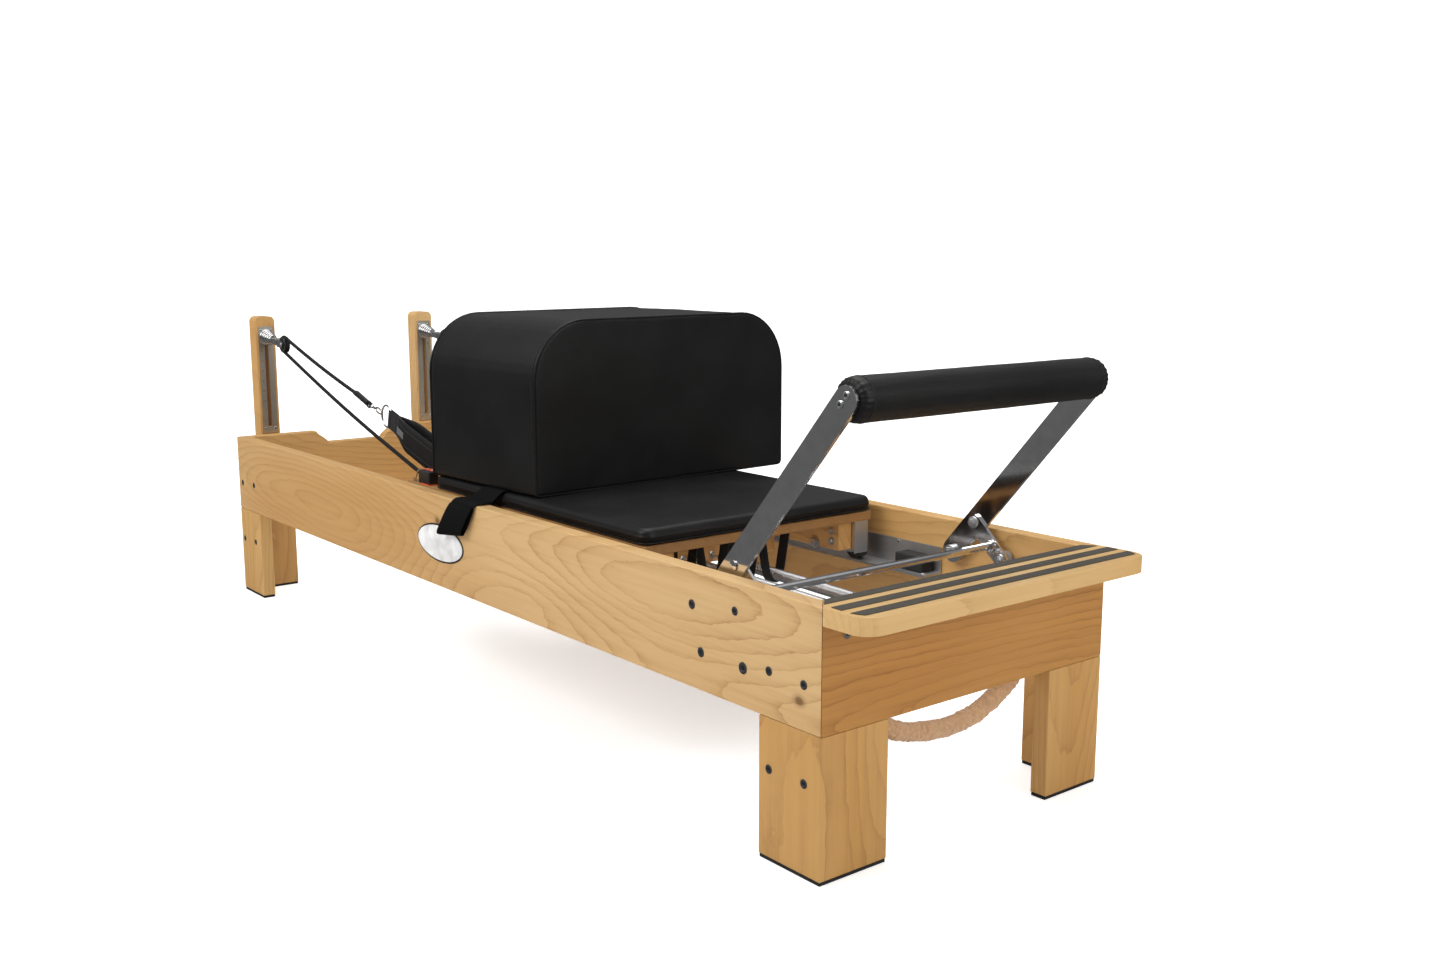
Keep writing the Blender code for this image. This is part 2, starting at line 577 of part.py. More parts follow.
a_up = tangent(upper_end[0], upper_end[2], True)
a_lo = tangent(lower_end[0], lower_end[2], False)
for s, sn in ((-1, "left"), (1, "right")):
    pts = []
    y_w = s * RISER_Y
    pu = (axle[0] + lay * math.cos(a_up), axle[1] + lay * math.sin(a_up))
    pl = (axle[0] + lay * math.cos(a_lo), axle[1] + lay * math.sin(a_lo))
    for i in range(12):
        t = i / 12
        pts.append((upper_end[0] + (pu[0] - upper_end[0]) * t,
                    s * upper_end[1] + (y_w - s * upper_end[1]) * t,
                    upper_end[2] + (pu[1] - upper_end[2]) * t - 0.006 * math.sin(math.pi * t)))
    sweep = a_lo + 2 * math.pi - a_up
    for i in range(13):
        a = a_up + sweep * i / 12
        pts.append((axle[0] + lay * math.cos(a), y_w, axle[1] + lay * math.sin(a)))
    for i in range(1, 17):
        t = i / 16
        pts.append((pl[0] + (lower_end[0] - pl[0]) * t,
                    y_w + (s * lower_end[1] - y_w) * t,
                    pl[1] + (lower_end[2] - pl[1]) * t - 0.008 * math.sin(math.pi * t)))
    tube("rope_%s" % sn, pts, ROPE_R, ROPE, 2)

    # padded hand strap: a flat loop that hangs from a ring, its wide face outwards
    outer = [(0.0, 0.2312), (0.0, 0.2378), (0.045, 0.2385), (0.075, 0.2440), (0.110, 0.2465),
             (0.150, 0.2465), (0.190, 0.2465), (0.225, 0.2465), (0.2400, 0.2447),
             (0.2510, 0.2395), (0.2565, 0.2318), (0.2565, 0.2232), (0.2510, 0.2155),
             (0.2400, 0.2103), (0.225, 0.2085), (0.190, 0.2085), (0.150, 0.2085),
             (0.110, 0.2085), (0.075, 0.2130), (0.045, 0.2290)]
    inner = [(0.0800, 0.2268), (0.0800, 0.2282), (0.0860, 0.2310), (0.0950, 0.2345),
             (0.1150, 0.2385), (0.150, 0.2385), (0.190, 0.2385), (0.225, 0.2385),
             (0.2360, 0.2370), (0.2440, 0.2335), (0.2482, 0.2295), (0.2482, 0.2255),
             (0.2440, 0.2215), (0.2360, 0.2180), (0.225, 0.2165), (0.190, 0.2165),
             (0.150, 0.2165), (0.1150, 0.2165), (0.0950, 0.2205), (0.0860, 0.2240)]
    n = len(outer)
    vs = []
    for pts, top in ((outer, True), (outer, False), (inner, True), (inner, False)):
        for q in pts:
            vs.append(strap_point(q[0], q[1] * s, strap_edge(q[0], top)))
    fs = []
    for i in range(n):
        j = (i + 1) % n
        fs.append((i, j, n + j, n + i))
        fs.append((2 * n + i, 3 * n + i, 3 * n + j, 2 * n + j))
        fs.append((i, 2 * n + i, 2 * n + j, j))
        fs.append((n + i, n + j, 3 * n + j, 3 * n + i))
    strap = from_lists("hand_strap_%s" % sn, vs, fs, WEB)
    vs, fs, m = [], [], 28
    for r, h in ((0.0278, 0.0023), (0.0278, -0.0023), (0.0230, -0.0023), (0.0230, 0.0023)):
        for i in range(m):
            t = 2 * math.pi * i / m
            vs.append(strap_point(-0.0156 + r * math.cos(t), s * 0.2345 + h, r * math.sin(t)))
    for k in range(4):
        k2 = (k + 1) % 4
        for i in range(m):
            j = (i + 1) % m
            fs.append((k * m + i, k * m + j, k2 * m + j, k2 * m + i))
    hoop = from_lists("strap_ring_%s" % sn, vs, fs, None, cutters)
    boolean(strap, hoop, "UNION")

# strap tucked under the box and draped over the left rail
strap_keys = [(-0.205, btop + PAD_T + 0.0014), (-0.255, btop + PAD_T + 0.0014),
              (-0.2755, btop + PAD_T + 0.0008), (-0.2830, btop + PAD_T - 0.0050),
              (-0.2960, RAIL_TOP + 0.0085), (-0.3120, RAIL_TOP + 0.0035),
              (-0.3270, RAIL_TOP + 0.0030), (-0.3345, RAIL_TOP - 0.0010),
              (-0.3385, RAIL_TOP - 0.0100), (-0.3400, RAIL_TOP - 0.0400),
              (-0.3400, RAIL_TOP - 0.0880)]
prism("box_strap", ribbon(strap_keys, 0.0009), "yz", 0.072, 0.136, WEB)

# ----------------------------------------------------------------------------
# foot bar: two flat arms and a padded roll, with a swinging brace
# ----------------------------------------------------------------------------
for s, sn in ((-1, "left"), (1, "right")):
    lo_y, hi_y = sorted((s * (ARM_Y - ARM_T / 2), s * (ARM_Y + ARM_T / 2)))
    arm = prism("footbar_arm_%s" % sn, capsule(BAR_PIVOT, BAR_TOP, ARM_W / 2)[::-1], "xz",
                lo_y, hi_y, CHROME, 0.0006, 1)
    bore = turned("pivot_bore_%s" % sn, [(0.0, 0.02), (0.0064, 0.02), (0.0064, -0.02),
                                         (0.0, -0.02)], "y",
                  (BAR_PIVOT[0], s * ARM_Y, BAR_PIVOT[1]), None, 20, coll=cutters)
    boolean(arm, bore)
    bore2 = turned("brace_bore_%s" % sn, [(0.0, 0.02), (0.0054, 0.02), (0.0054, -0.02),
                                          (0.0, -0.02)], "y",
                   (BRACE_PIN[0], s * ARM_Y, BRACE_PIN[1]), None, 20, coll=cutters)
    boolean(arm, bore2)
    arm.modifiers.move(1, 0)
    arm.modifiers.move(2, 1)
    # hinge bracket: a plate on the rail with the pivot pin through the arm
    br = turned("footbar_hinge_%s" % sn,
                [(0.0, IN - GAP), (0.0210, IN - GAP), (0.0210, IN - 0.0055),
                 (0.0110, IN - 0.0075), (0.0110, ARM_Y + ARM_T / 2 + GAP),
                 (0.0060, ARM_Y + ARM_T / 2 + GAP), (0.0060, ARM_Y - ARM_T / 2 - GAP),
                 (0.0105, ARM_Y - ARM_T / 2 - GAP), (0.0105, ARM_Y - ARM_T / 2 - 0.0065),
                 (0.0, ARM_Y - ARM_T / 2 - 0.0075)] if s > 0 else
                [(0.0, -ARM_Y + ARM_T / 2 + 0.0075), (0.0105, -ARM_Y + ARM_T / 2 + 0.0065),
                 (0.0105, -ARM_Y + ARM_T / 2 + GAP), (0.0060, -ARM_Y + ARM_T / 2 + GAP),
                 (0.0060, -ARM_Y - ARM_T / 2 - GAP), (0.0110, -ARM_Y - ARM_T / 2 - GAP),
                 (0.0110, -IN + 0.0075), (0.0210, -IN + 0.0055), (0.0210, -IN + GAP),
                 (0.0, -IN + GAP)],
                "y", (BAR_PIVOT[0], 0.0, BAR_PIVOT[1]), ZINC, 24)

ri = ARM_Y - ARM_T / 2 - GAP
turned("footbar_roll", [(0.0, ri), (ROLL_R - 0.008, ri), (ROLL_R - 0.002, ri - 0.002),
                        (ROLL_R, ri - 0.008), (ROLL_R, -ri + 0.008),
                        (ROLL_R - 0.002, -ri + 0.002), (ROLL_R - 0.008, -ri), (0.0, -ri)],
       "y", (BAR_TOP[0], 0.0, BAR_TOP[1]), VINYL, 28)

# brace: two struts joined by a round rod, hinged on pins in the arms
bt = 0.005
by1 = ARM_Y - ARM_T / 2 - GAP
by0 = by1 - bt
brace = tube("brace_frame", [(ROD[0], -by0 - 0.001, ROD[1]), (ROD[0], by0 + 0.001, ROD[1])],
             0.0070, CHROME, 4)
for s, sn in ((-1, "left"), (1, "right")):
    lo_y, hi_y = sorted((s * by0, s * by1))
    strut = prism("strut_%s" % sn, capsule(BRACE_PIN, BRACE_END, 0.0150, 6)[::-1], "xz",
                  lo_y, hi_y, None, coll=cutters)
    boolean(brace, strut, "UNION")
    # hinge pin through the arm with a round head outside
    if s > 0:
        prof = [(0.0, ARM_Y + ARM_T / 2 + 0.0035), (0.0085, ARM_Y + ARM_T / 2 + 0.0025),
                (0.0085, ARM_Y + ARM_T / 2 + GAP), (0.0050, ARM_Y + ARM_T / 2 + GAP),
                (0.0050, by1 - 0.001), (0.0, by1 - 0.001)]
    else:
        prof = [(0.0, -by1 + 0.001), (0.0050, -by1 + 0.001),
                (0.0050, -ARM_Y - ARM_T / 2 - GAP), (0.0085, -ARM_Y - ARM_T / 2 - GAP),
                (0.0085, -ARM_Y - ARM_T / 2 - 0.0025), (0.0, -ARM_Y - ARM_T / 2 - 0.0035)]
    pin = turned("brace_pin_%s" % sn, prof, "y", (BRACE_PIN[0], 0.0, BRACE_PIN[1]), None,
                 16, coll=cutters)
    boolean(brace, pin, "UNION")
    # end roller that rests on the ledge
    if s > 0:
        prof = [(0.0, 0.2960), (0.0130, 0.2960), (0.0130, by1 + 0.0008),
                (0.0060, by1 + 0.0008), (0.0060, by1 - 0.001), (0.0, by1 - 0.001)]
    else:
        prof = [(0.0, -by1 + 0.001), (0.0060, -by1 + 0.001), (0.0060, -by1 - 0.0008),
                (0.0130, -by1 - 0.0008), (0.0130, -0.2960), (0.0, -0.2960)]
    rol = turned("brace_roller_%s" % sn, prof, "y", (BRACE_END[0], 0.0, BRACE_END[1]), None,
                 20, coll=cutters)
    boolean(brace, rol, "UNION")
    # ledge on the rail under the roller, with a lip on its foot side
    ledge = [(0.9600, 0.3440), (1.0080, 0.3440), (1.0080, 0.3710),
             (BRACE_END[0] + 0.0136, 0.3710), (BRACE_END[0] + 0.0136, 0.3622),
             (0.9600, 0.3622)]
    lo_y, hi_y = sorted((s * 0.2860, s * (IN - GAP)))
    prism("brace_ledge_%s" % sn, ledge[::-1], "xz", lo_y, hi_y, ZINC)

# ----------------------------------------------------------------------------
# sitting box: rounded along its two upper side edges
# ----------------------------------------------------------------------------
n = 8
hw = BOX_W / 2
bz0 = btop + PAD_T + 0.0026
bz1 = bz0 + BOX_H
prof = [(-hw, bz0), (hw, bz0)]
prof += [(hw - BOX_R + BOX_R * math.cos(math.radians(90 * i / n)),
          bz1 - BOX_R + BOX_R * math.sin(math.radians(90 * i / n))) for i in range(n + 1)]
prof += [(-hw + BOX_R - BOX_R * math.sin(math.radians(90 * i / n)),
          bz1 - BOX_R + BOX_R * math.cos(math.radians(90 * i / n))) for i in range(n + 1)]
sit = prism("sitting_box", prof, "yz", -BOX_D / 2, BOX_D / 2, VINYL, 0.006, 2)
sit.matrix_world = (Matrix.Translation((OX + BOX_C[0], OY + BOX_C[1], 0.0))
                    @ Matrix.Rotation(BOX_YAW, 4, "Z")
                    @ Matrix.Translation((-OX, -OY, 0.0)) @ sit.matrix_world)
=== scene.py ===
import bpy
import bmesh
import math
from mathutils import Vector, Matrix, noise


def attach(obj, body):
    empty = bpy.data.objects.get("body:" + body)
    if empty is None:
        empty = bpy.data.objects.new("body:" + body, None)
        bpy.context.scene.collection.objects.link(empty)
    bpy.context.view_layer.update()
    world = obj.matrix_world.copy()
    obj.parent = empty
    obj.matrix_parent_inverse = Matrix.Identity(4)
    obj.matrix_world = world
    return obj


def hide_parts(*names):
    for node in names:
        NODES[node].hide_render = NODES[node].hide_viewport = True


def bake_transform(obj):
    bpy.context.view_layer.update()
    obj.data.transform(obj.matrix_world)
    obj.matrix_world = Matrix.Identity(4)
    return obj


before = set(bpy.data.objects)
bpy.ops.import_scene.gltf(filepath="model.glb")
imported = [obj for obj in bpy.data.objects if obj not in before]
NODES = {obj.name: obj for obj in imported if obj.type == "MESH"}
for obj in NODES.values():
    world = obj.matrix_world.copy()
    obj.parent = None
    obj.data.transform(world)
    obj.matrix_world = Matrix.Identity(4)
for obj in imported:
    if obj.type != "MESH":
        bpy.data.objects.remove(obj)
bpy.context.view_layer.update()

OX, OY = -0.0105, -0.0215
L2, W2, IN = 1.167, 0.330, 0.300
RAIL_TOP = 0.424
BTOP = 0.417
rad = math.radians


def P(x, y, z):
    return Vector((x + OX, y + OY, z))


# ----------------------------------------------------------------------------
# camera and studio
# ----------------------------------------------------------------------------
scn = bpy.context.scene
scn.view_settings.view_transform = "Standard"
cam_data = bpy.data.cameras.new("camera")
cam = bpy.data.objects.new("camera", cam_data)
scn.collection.objects.link(cam)
cam_data.sensor_width = 36.0
cam_data.lens = 34.54
cam_data.clip_end = 60.0
yaw, pitch = rad(141.253), rad(-9.521)
fwd = Vector((math.cos(pitch) * math.cos(yaw), math.cos(pitch) * math.sin(yaw), math.sin(pitch)))
cam.location = P(2.5687, -1.6371, 0.9259)
cam.rotation_euler = fwd.to_track_quat("-Z", "Y").to_euler()
scn.camera = cam


def area(name, loc, target, size, energy, colour=(1, 1, 1), size_y=None):
    d = bpy.data.lights.new(name, "AREA")
    d.shape = "RECTANGLE"
    d.size = size
    d.size_y = size_y or size
    d.energy = energy
    d.color = colour
    o = bpy.data.objects.new(name, d)
    scn.collection.objects.link(o)
    o.location = loc
    o.rotation_euler = (Vector(target) - Vector(loc)).to_track_quat("-Z", "Y").to_euler()
    return o


area("key", (-0.6, -3.4, 3.0), (0.1, 0.0, 0.3), 2.6, 92, (1.0, 0.985, 0.96), 2.0)
area("top", (0.2, 0.3, 3.6), (0.0, 0.0, 0.4), 3.4, 74, (1.0, 0.99, 0.98), 2.4)
area("fill", (4.0, 0.6, 1.7), (0.6, 0.0, 0.35), 2.0, 38, (1.0, 0.98, 0.95), 1.6)

world = bpy.data.worlds.new("studio")
scn.world = world
world.use_nodes = True
wn = world.node_tree
wn.nodes.clear()
w_out = wn.nodes.new("ShaderNodeOutputWorld")
w_lp = wn.nodes.new("ShaderNodeLightPath")
w_tc = wn.nodes.new("ShaderNodeTexCoord")
w_sep = wn.nodes.new("ShaderNodeSeparateXYZ")
wn.links.new(w_tc.outputs["Generated"], w_sep.inputs[0])


def backdrop(stops, strength):
    r = wn.nodes.new("ShaderNodeValToRGB")
    wn.links.new(w_sep.outputs["Z"], r.inputs["Fac"])
    e = r.color_ramp.elements
    while len(e) > 1:
        e.remove(e[-1])
    for i, (p_, c_) in enumerate(stops):
        el = e[0] if i == 0 else e.new(p_)
        el.position = p_
        el.color = (c_, c_, c_ * 1.01, 1)
    g = wn.nodes.new("ShaderNodeBackground")
    g.inputs["Strength"].default_value = strength
    wn.links.new(r.outputs["Color"], g.inputs["Color"])
    return g


# seen directly the room is white; mirrors see a dim room with a brighter ceiling
w_cam = backdrop([(0.0, 1.0)], 1.0)
w_env = backdrop([(0.0, 0.30), (0.75, 1.0)], 0.60)
w_gls = backdrop([(0.0, 0.10), (0.10, 0.06), (0.26, 0.50), (0.34, 0.42), (0.52, 0.10), (0.80, 0.95)], 0.66)
w_m1 = wn.nodes.new("ShaderNodeMixShader")
w_m2 = wn.nodes.new("ShaderNodeMixShader")
wn.links.new(w_lp.outputs["Is Glossy Ray"], w_m1.inputs[0])
wn.links.new(w_env.outputs[0], w_m1.inputs[1])
wn.links.new(w_gls.outputs[0], w_m1.inputs[2])
wn.links.new(w_lp.outputs["Is Camera Ray"], w_m2.inputs[0])
wn.links.new(w_m1.outputs[0], w_m2.inputs[1])
wn.links.new(w_cam.outputs[0], w_m2.inputs[2])
wn.links.new(w_m2.outputs[0], w_out.inputs["Surface"])


# ----------------------------------------------------------------------------
# materials
# ----------------------------------------------------------------------------
class Mat:
    """A node material being built: small helpers that return sockets."""

    def __init__(self, name):
        self.m = bpy.data.materials.new(name)
        self.m.use_nodes = True
        self.t = self.m.node_tree
        self.b = self.t.nodes["Principled BSDF"]
        self.tc = self.t.nodes.new("ShaderNodeTexCoord")

    def node(self, kind):
        return self.t.nodes.new(kind)

    def link(self, a, b):
        self.t.links.new(a, b)
        return b

    def coords(self, scale=(1, 1, 1), loc=(0, 0, 0), rot=(0, 0, 0), src="Object"):
        n = self.node("ShaderNodeMapping")
        n.inputs["Scale"].default_value = scale
        n.inputs["Location"].default_value = loc
        n.inputs["Rotation"].default_value = rot
        self.link(self.tc.outputs[src], n.inputs["Vector"])
        return n.outputs["Vector"]

    def noise(self, vec, scale=1.0, detail=3.0, rough=0.5, dist=0.0):
        n = self.node("ShaderNodeTexNoise")
        n.inputs["Scale"].default_value = scale
        n.inputs["Detail"].default_value = detail
        n.inputs["Roughness"].default_value = rough
        n.inputs["Distortion"].default_value = dist
        self.link(vec, n.inputs["Vector"])
        return n.outputs["Fac"]

    def voronoi(self, vec, scale, feature="F1"):
        n = self.node("ShaderNodeTexVoronoi")
        n.feature = feature
        n.inputs["Scale"].default_value = scale
        self.link(vec, n.inputs["Vector"])
        return n.outputs["Distance"]

    def math(self, op, a, b=None, clamp=False):
        n = self.node("ShaderNodeMath")
        n.operation = op
        n.use_clamp = clamp
        for i, v in enumerate((a, b)):
            if v is None:
                continue
            if isinstance(v, (int, float)):
                n.inputs[i].default_value = v
            else:
                self.link(v, n.inputs[i])
        return n.outputs[0]

    def ramp(self, fac, stops):
        n = self.node("ShaderNodeValToRGB")
        e = n.color_ramp.elements
        while len(e) > 1:
            e.remove(e[-1])
        for i, (p, c) in enumerate(stops):
            el = e[0] if i == 0 else e.new(p)
            el.position = p
            c = (c, c, c) if isinstance(c, (int, float)) else c
            el.color = (c[0], c[1], c[2], 1.0)
        self.link(fac, n.inputs["Fac"])
        return n.outputs["Color"]

    def mix(self, fac, a, b, blend="MIX"):
        n = self.node("ShaderNodeMix")
        n.data_type = "RGBA"
        n.blend_type = blend
        for sock, v in ((n.inputs[0], fac), (n.inputs[6], a), (n.inputs[7], b)):
            if isinstance(v, (int, float)):
                sock.default_value = v
            elif isinstance(v, tuple):
                sock.default_value = (v[0], v[1], v[2], 1.0)
            else:
                self.link(v, sock)
        return n.outputs[2]

    def bump(self, height, dist, strength=1.0, chain=None):
        n = self.node("ShaderNodeBump")
        n.inputs["Distance"].default_value = dist
        n.inputs["Strength"].default_value = strength
        self.link(height, n.inputs["Height"])
        if chain is not None:
            self.link(chain, n.inputs["Normal"])
        return n.outputs["Normal"]

    def sep(self, vec):
        n = self.node("ShaderNodeSeparateXYZ")
        self.link(vec, n.inputs[0])
        return n.outputs

    def done(self, color=None, rough=None, normal=None, metal=0.0, spec=None, coat=0.0,
             coat_rough=0.2, sheen=0.0):
        b = self.b
        if color is not None:
            if isinstance(color, tuple):
                b.inputs["Base Color"].default_value = (*color, 1.0)
            else:
                self.link(color, b.inputs["Base Color"])
        if rough is not None:
            if isinstance(rough, (int, float)):
                b.inputs["Roughness"].default_value = rough
            else:
                self.link(rough, b.inputs["Roughness"])
        if normal is not None:
            self.link(normal, b.inputs["Normal"])
        b.inputs["Metallic"].default_value = metal
        if spec is not None:
            b.inputs["Specular IOR Level"].default_value = spec
        b.inputs["Coat Weight"].default_value = coat
        b.inputs["Coat Roughness"].default_value = coat_rough
        if sheen:
            b.inputs["Sheen Weight"].default_value = sheen
            b.inputs["Sheen Roughness"].default_value = 0.5
        return self.m


def wood(name, grain="x", seed=0.0, light=(0.560, 0.350, 0.140), dark=(0.330, 0.160, 0.045),
         figure=1.0, rings=26.0, knots=True, fine=1.0, stretch=1.0, sway=3.6):
    """Lacquered flat-sawn timber: contour figure with crisp growth lines, pores, pin knots."""
    m = Mat(name)
    along = {"x": (1, 0, 0), "y": (0, 1, 0), "z": (0, 0, 1)}[grain]

    def sc(a, c):
        return tuple(a if k else c for k in along)
    off = (seed * 1.7, seed * 2.3 + 0.4, seed * 3.1 + 1.3)
    field = m.noise(m.coords(sc(0.95 * stretch, 3.6), off), 1.0, 0.0, 0.4, 0.0)
    mid = m.noise(m.coords(sc(2.6 * stretch, 8.5), (off[1], off[2], off[0])), 1.0, 1.0, 0.5)
    wob = m.noise(m.coords(sc(22.0, 46.0), off), 1.0, 2.0, 0.6)
    f = m.math("ADD", m.math("MULTIPLY", field, rings), m.math("MULTIPLY", mid, sway))
    f = m.math("ADD", f, m.math("MULTIPLY", wob, 0.55))
    saw = m.math("FRACT", f)
    line = m.ramp(saw, [(0.0, 0.0), (0.040, 0.85), (0.10, 0.55), (0.26, 0.26), (0.60, 0.07), (0.97, 0.0)])
    gate = m.noise(m.coords(sc(2.6, 8.0), (off[2], off[0], off[1])), 1.0, 1.0)
    line = m.math("MULTIPLY", line, m.ramp(gate, [(0.30, 0.45), (0.60, 1.0)]))
    fibre = m.noise(m.coords(sc(11.0, 520.0), off), 1.0, 2.0, 0.6)
    pore = m.ramp(fibre, [(0.54, 0.0), (0.74, 1.0)])
    streak = m.noise(m.coords(sc(2.4, 95.0), off), 1.0, 3.0, 0.62)
    tone = m.noise(m.coords(sc(0.8, 3.2), (off[1], off[2], off[0])), 1.0, 2.0, 0.5)
    pl = m.math("MULTIPLY_ADD", line, 0.34)
    pl.node.inputs[2].default_value = 0.10
    fac = m.math("ADD", m.math("MULTIPLY", line, 0.86 * figure), m.math("MULTIPLY", pore, pl))
    fac = m.math("ADD", fac, m.math("MULTIPLY", m.math("SUBTRACT", streak, 0.5), 0.42 * fine), clamp=True)
    warm = tuple(c * k for c, k in zip(light, (0.90, 0.80, 0.66)))
    pale = tuple(min(1.0, c * k) for c, k in zip(light, (1.06, 1.09, 1.16)))
    base = m.mix(m.ramp(tone, [(0.36, 0.0), (0.64, 1.0)]), pale, warm)
    col = m.mix(fac, base, dark)
    if knots:
        v = m.voronoi(m.coords(sc(3.1, 4.4), off), 1.0)
        k = m.ramp(v, [(0.020, 0.80), (0.034, 0.30), (0.060, 0.0)])
        col = m.mix(k, col, (0.150, 0.062, 0.018))
    h = m.math("SUBTRACT", m.math("MULTIPLY", streak, 0.5), m.math("MULTIPLY", pore, 0.5))
    r = m.math("MULTIPLY_ADD", streak, 0.16)
    r.node.inputs[2].default_value = 0.36
    return m.done(col, r, m.bump(h, 0.00025, 0.5), spec=0.4, coat=0.08, coat_rough=0.3)


def vinyl(name, tint=(0.0062, 0.0062, 0.0064), rough=0.45, grain=1.0):
    m = Mat(name)
    c = m.coords()
    cells = m.voronoi(c, 620.0)
    fine = m.noise(c, 900.0, 2.0)
    cloud = m.noise(c, 9.0, 3.0)
    dust = m.noise(c, 160.0, 4.0, 0.7)
    col = m.mix(m.ramp(cloud, [(0.35, 0.0), (0.7, 1.0)]), tint, tuple(k * 1.45 for k in tint))
    col = m.mix(m.ramp(dust, [(0.70, 0.0), (0.80, 0.30)]), col, tuple(k * 2.4 for k in tint))
    r = m.math("MULTIPLY_ADD", cloud, 0.14)
    r.node.inputs[2].default_value = rough - 0.06
    n = m.bump(m.math("ADD", cells, m.math("MULTIPLY", fine, 0.4)), 0.00028 * grain, 0.55)
    n = m.bump(m.noise(c, 26.0, 2.0), 0.0016, 0.22, n)
    return m.done(col, r, n, spec=0.26)


def metal(name, tint=(0.78, 0.78, 0.79), rough=0.07, brushed=None, marks=0.05):
    m = Mat(name)
    c = m.coords()
    smudge = m.noise(c, 38.0, 4.0, 0.6)
    col = m.mix(m.ramp(smudge, [(0.35, 0.0), (0.75, 1.0)]), tint, tuple(k * 0.86 for k in tint))
    r = m.math("MULTIPLY_ADD", smudge, marks * 2)
    r.node.inputs[2].default_value = rough
    n = None
    if brushed:
        sc = tuple(6.0 if a == brushed else 900.0 for a in "xyz")
        line = m.noise(m.coords(sc), 1.0, 2.0)
        n = m.bump(line, 0.0001, 0.35)
        r = m.math("ADD", r, m.math("MULTIPLY", line, 0.16))
    else:
        n = m.bump(m.noise(c, 14.0, 2.0), 0.0006, 0.12)
    return m.done(col, r, n, metal=1.0)


def plastic(name, tint, rough=0.5, grain=500.0, depth=0.00015):
    m = Mat(name)
    c = m.coords()
    a = m.noise(c, grain, 2.0)
    b = m.noise(c, 30.0, 3.0)
    col = m.mix(m.ramp(b, [(0.3, 0.0), (0.7, 1.0)]), tint, tuple(k * 1.5 for k in tint))
    r = m.math("MULTIPLY_ADD", b, 0.15)
    r.node.inputs[2].default_value = rough - 0.07
    return m.done(col, r, m.bump(a, depth, 0.5))


def woven(name, tint=(0.0065, 0.0065, 0.0070), uv=True, pitch=420.0, spec=0.25, sheen=0.08):
    """Webbing: a twill of ribs across and along the band."""
    m = Mat(name)
    if uv:
        s = m.sep(m.coords((1, 1, 1), src="UV"))
        across, along = s[0], s[1]
    else:
        s = m.sep(m.coords())
        across, along = m.math("ADD", s[0], 0.0), m.math("ADD", s[1], s[2])
    a = m.math("SINE", m.math("MULTIPLY", across, pitch * 6.2832))
    b = m.math("SINE", m.math("MULTIPLY", m.math("ADD", along, m.math("MULTIPLY", across, 0.5)),
                              pitch * 6.2832))
    w = m.math("MULTIPLY_ADD", m.math("MULTIPLY", a, b), 0.5)
    w.node.inputs[2].default_value = 0.5
    fuzz = m.noise(m.coords(), 300.0, 3.0)
    col = m.mix(w, tint, tuple(k * 2.6 for k in tint))
    col = m.mix(m.ramp(fuzz, [(0.55, 0.0), (0.8, 0.5)]), col, tuple(k * 4.0 for k in tint))
    r = m.math("MULTIPLY_ADD", fuzz, 0.2)
    r.node.inputs[2].default_value = 0.66
    return m.done(col, r, m.bump(w, 0.0005, 0.8), spec=spec, sheen=sheen)


def braid(name, tint=(0.0052, 0.0052, 0.0056)):
    m = Mat(name)
    s = m.sep(m.coords((1, 1, 1), src="UV"))
    p = m.math("SINE", m.math("MULTIPLY", m.math("ADD", m.math("MULTIPLY", s[0], 8.0),
                                                 m.math("MULTIPLY", s[1], 170.0)), 6.2832))
    q = m.math("SINE", m.math("MULTIPLY", m.math("SUBTRACT", m.math("MULTIPLY", s[0], 8.0),
                                                 m.math("MULTIPLY", s[1], 170.0)), 6.2832))
    w = m.math("MULTIPLY_ADD", m.math("MULTIPLY", p, q), 0.5)
    w.node.inputs[2].default_value = 0.5
    fuzz = m.noise(m.coords(), 400.0, 3.0)
    col = m.mix(w, tint, tuple(k * 2.8 for k in tint))
    r = m.math("MULTIPLY_ADD", fuzz, 0.2)
    r.node.inputs[2].default_value = 0.58
    return m.done(col, r, m.bump(w, 0.0004, 0.7), spec=0.22)


def fleece_mat(name):
    m = Mat(name)
    c = m.coords()
    a = m.noise(c, 130.0, 5.0, 0.7)
    b = m.noise(c, 34.0, 3.0)
    col = m.mix(a, (0.330, 0.165, 0.075), (0.800, 0.520, 0.290))
    col = m.mix(m.ramp(b, [(0.4, 0.0), (0.7, 0.45)]), col, (0.560, 0.320, 0.160))
    return m.done(col, 0.95, m.bump(m.math("ADD", a, b), 0.004, 0.8), sheen=0.35)


def ply_mat(name):
    """Plywood: a maple face with thin darker laminations on the edges."""
    m = Mat(name)
    s = m.sep(m.coords())
    lam = m.math("SINE", m.math("MULTIPLY", s[2], 6.2832 / 0.0026))
    face = m.noise(m.coords((2.0, 60.0, 60.0)), 1.0, 3.0)
    grain = m.noise(m.coords((30.0, 30.0, 900.0)), 1.0, 3.0)
    col = m.mix(face, (0.440, 0.235, 0.080), (0.300, 0.145, 0.045))
    edge = m.math("MULTIPLY", m.ramp(lam, [(0.35, 0.0), (0.75, 1.0)]), 0.55)
    geo = m.node("ShaderNodeNewGeometry")
    nz = m.math("ABSOLUTE", m.sep(geo.outputs["Normal"])[2])
    edge = m.math("MULTIPLY", edge, m.math("LESS_THAN", nz, 0.6))
    col = m.mix(edge, col, (0.180, 0.075, 0.022))
    r = m.math("MULTIPLY_ADD", grain, 0.15)
    r.node.inputs[2].default_value = 0.38
    return m.done(col, r, m.bump(grain, 0.0002, 0.4), coat=0.1, coat_rough=0.3)


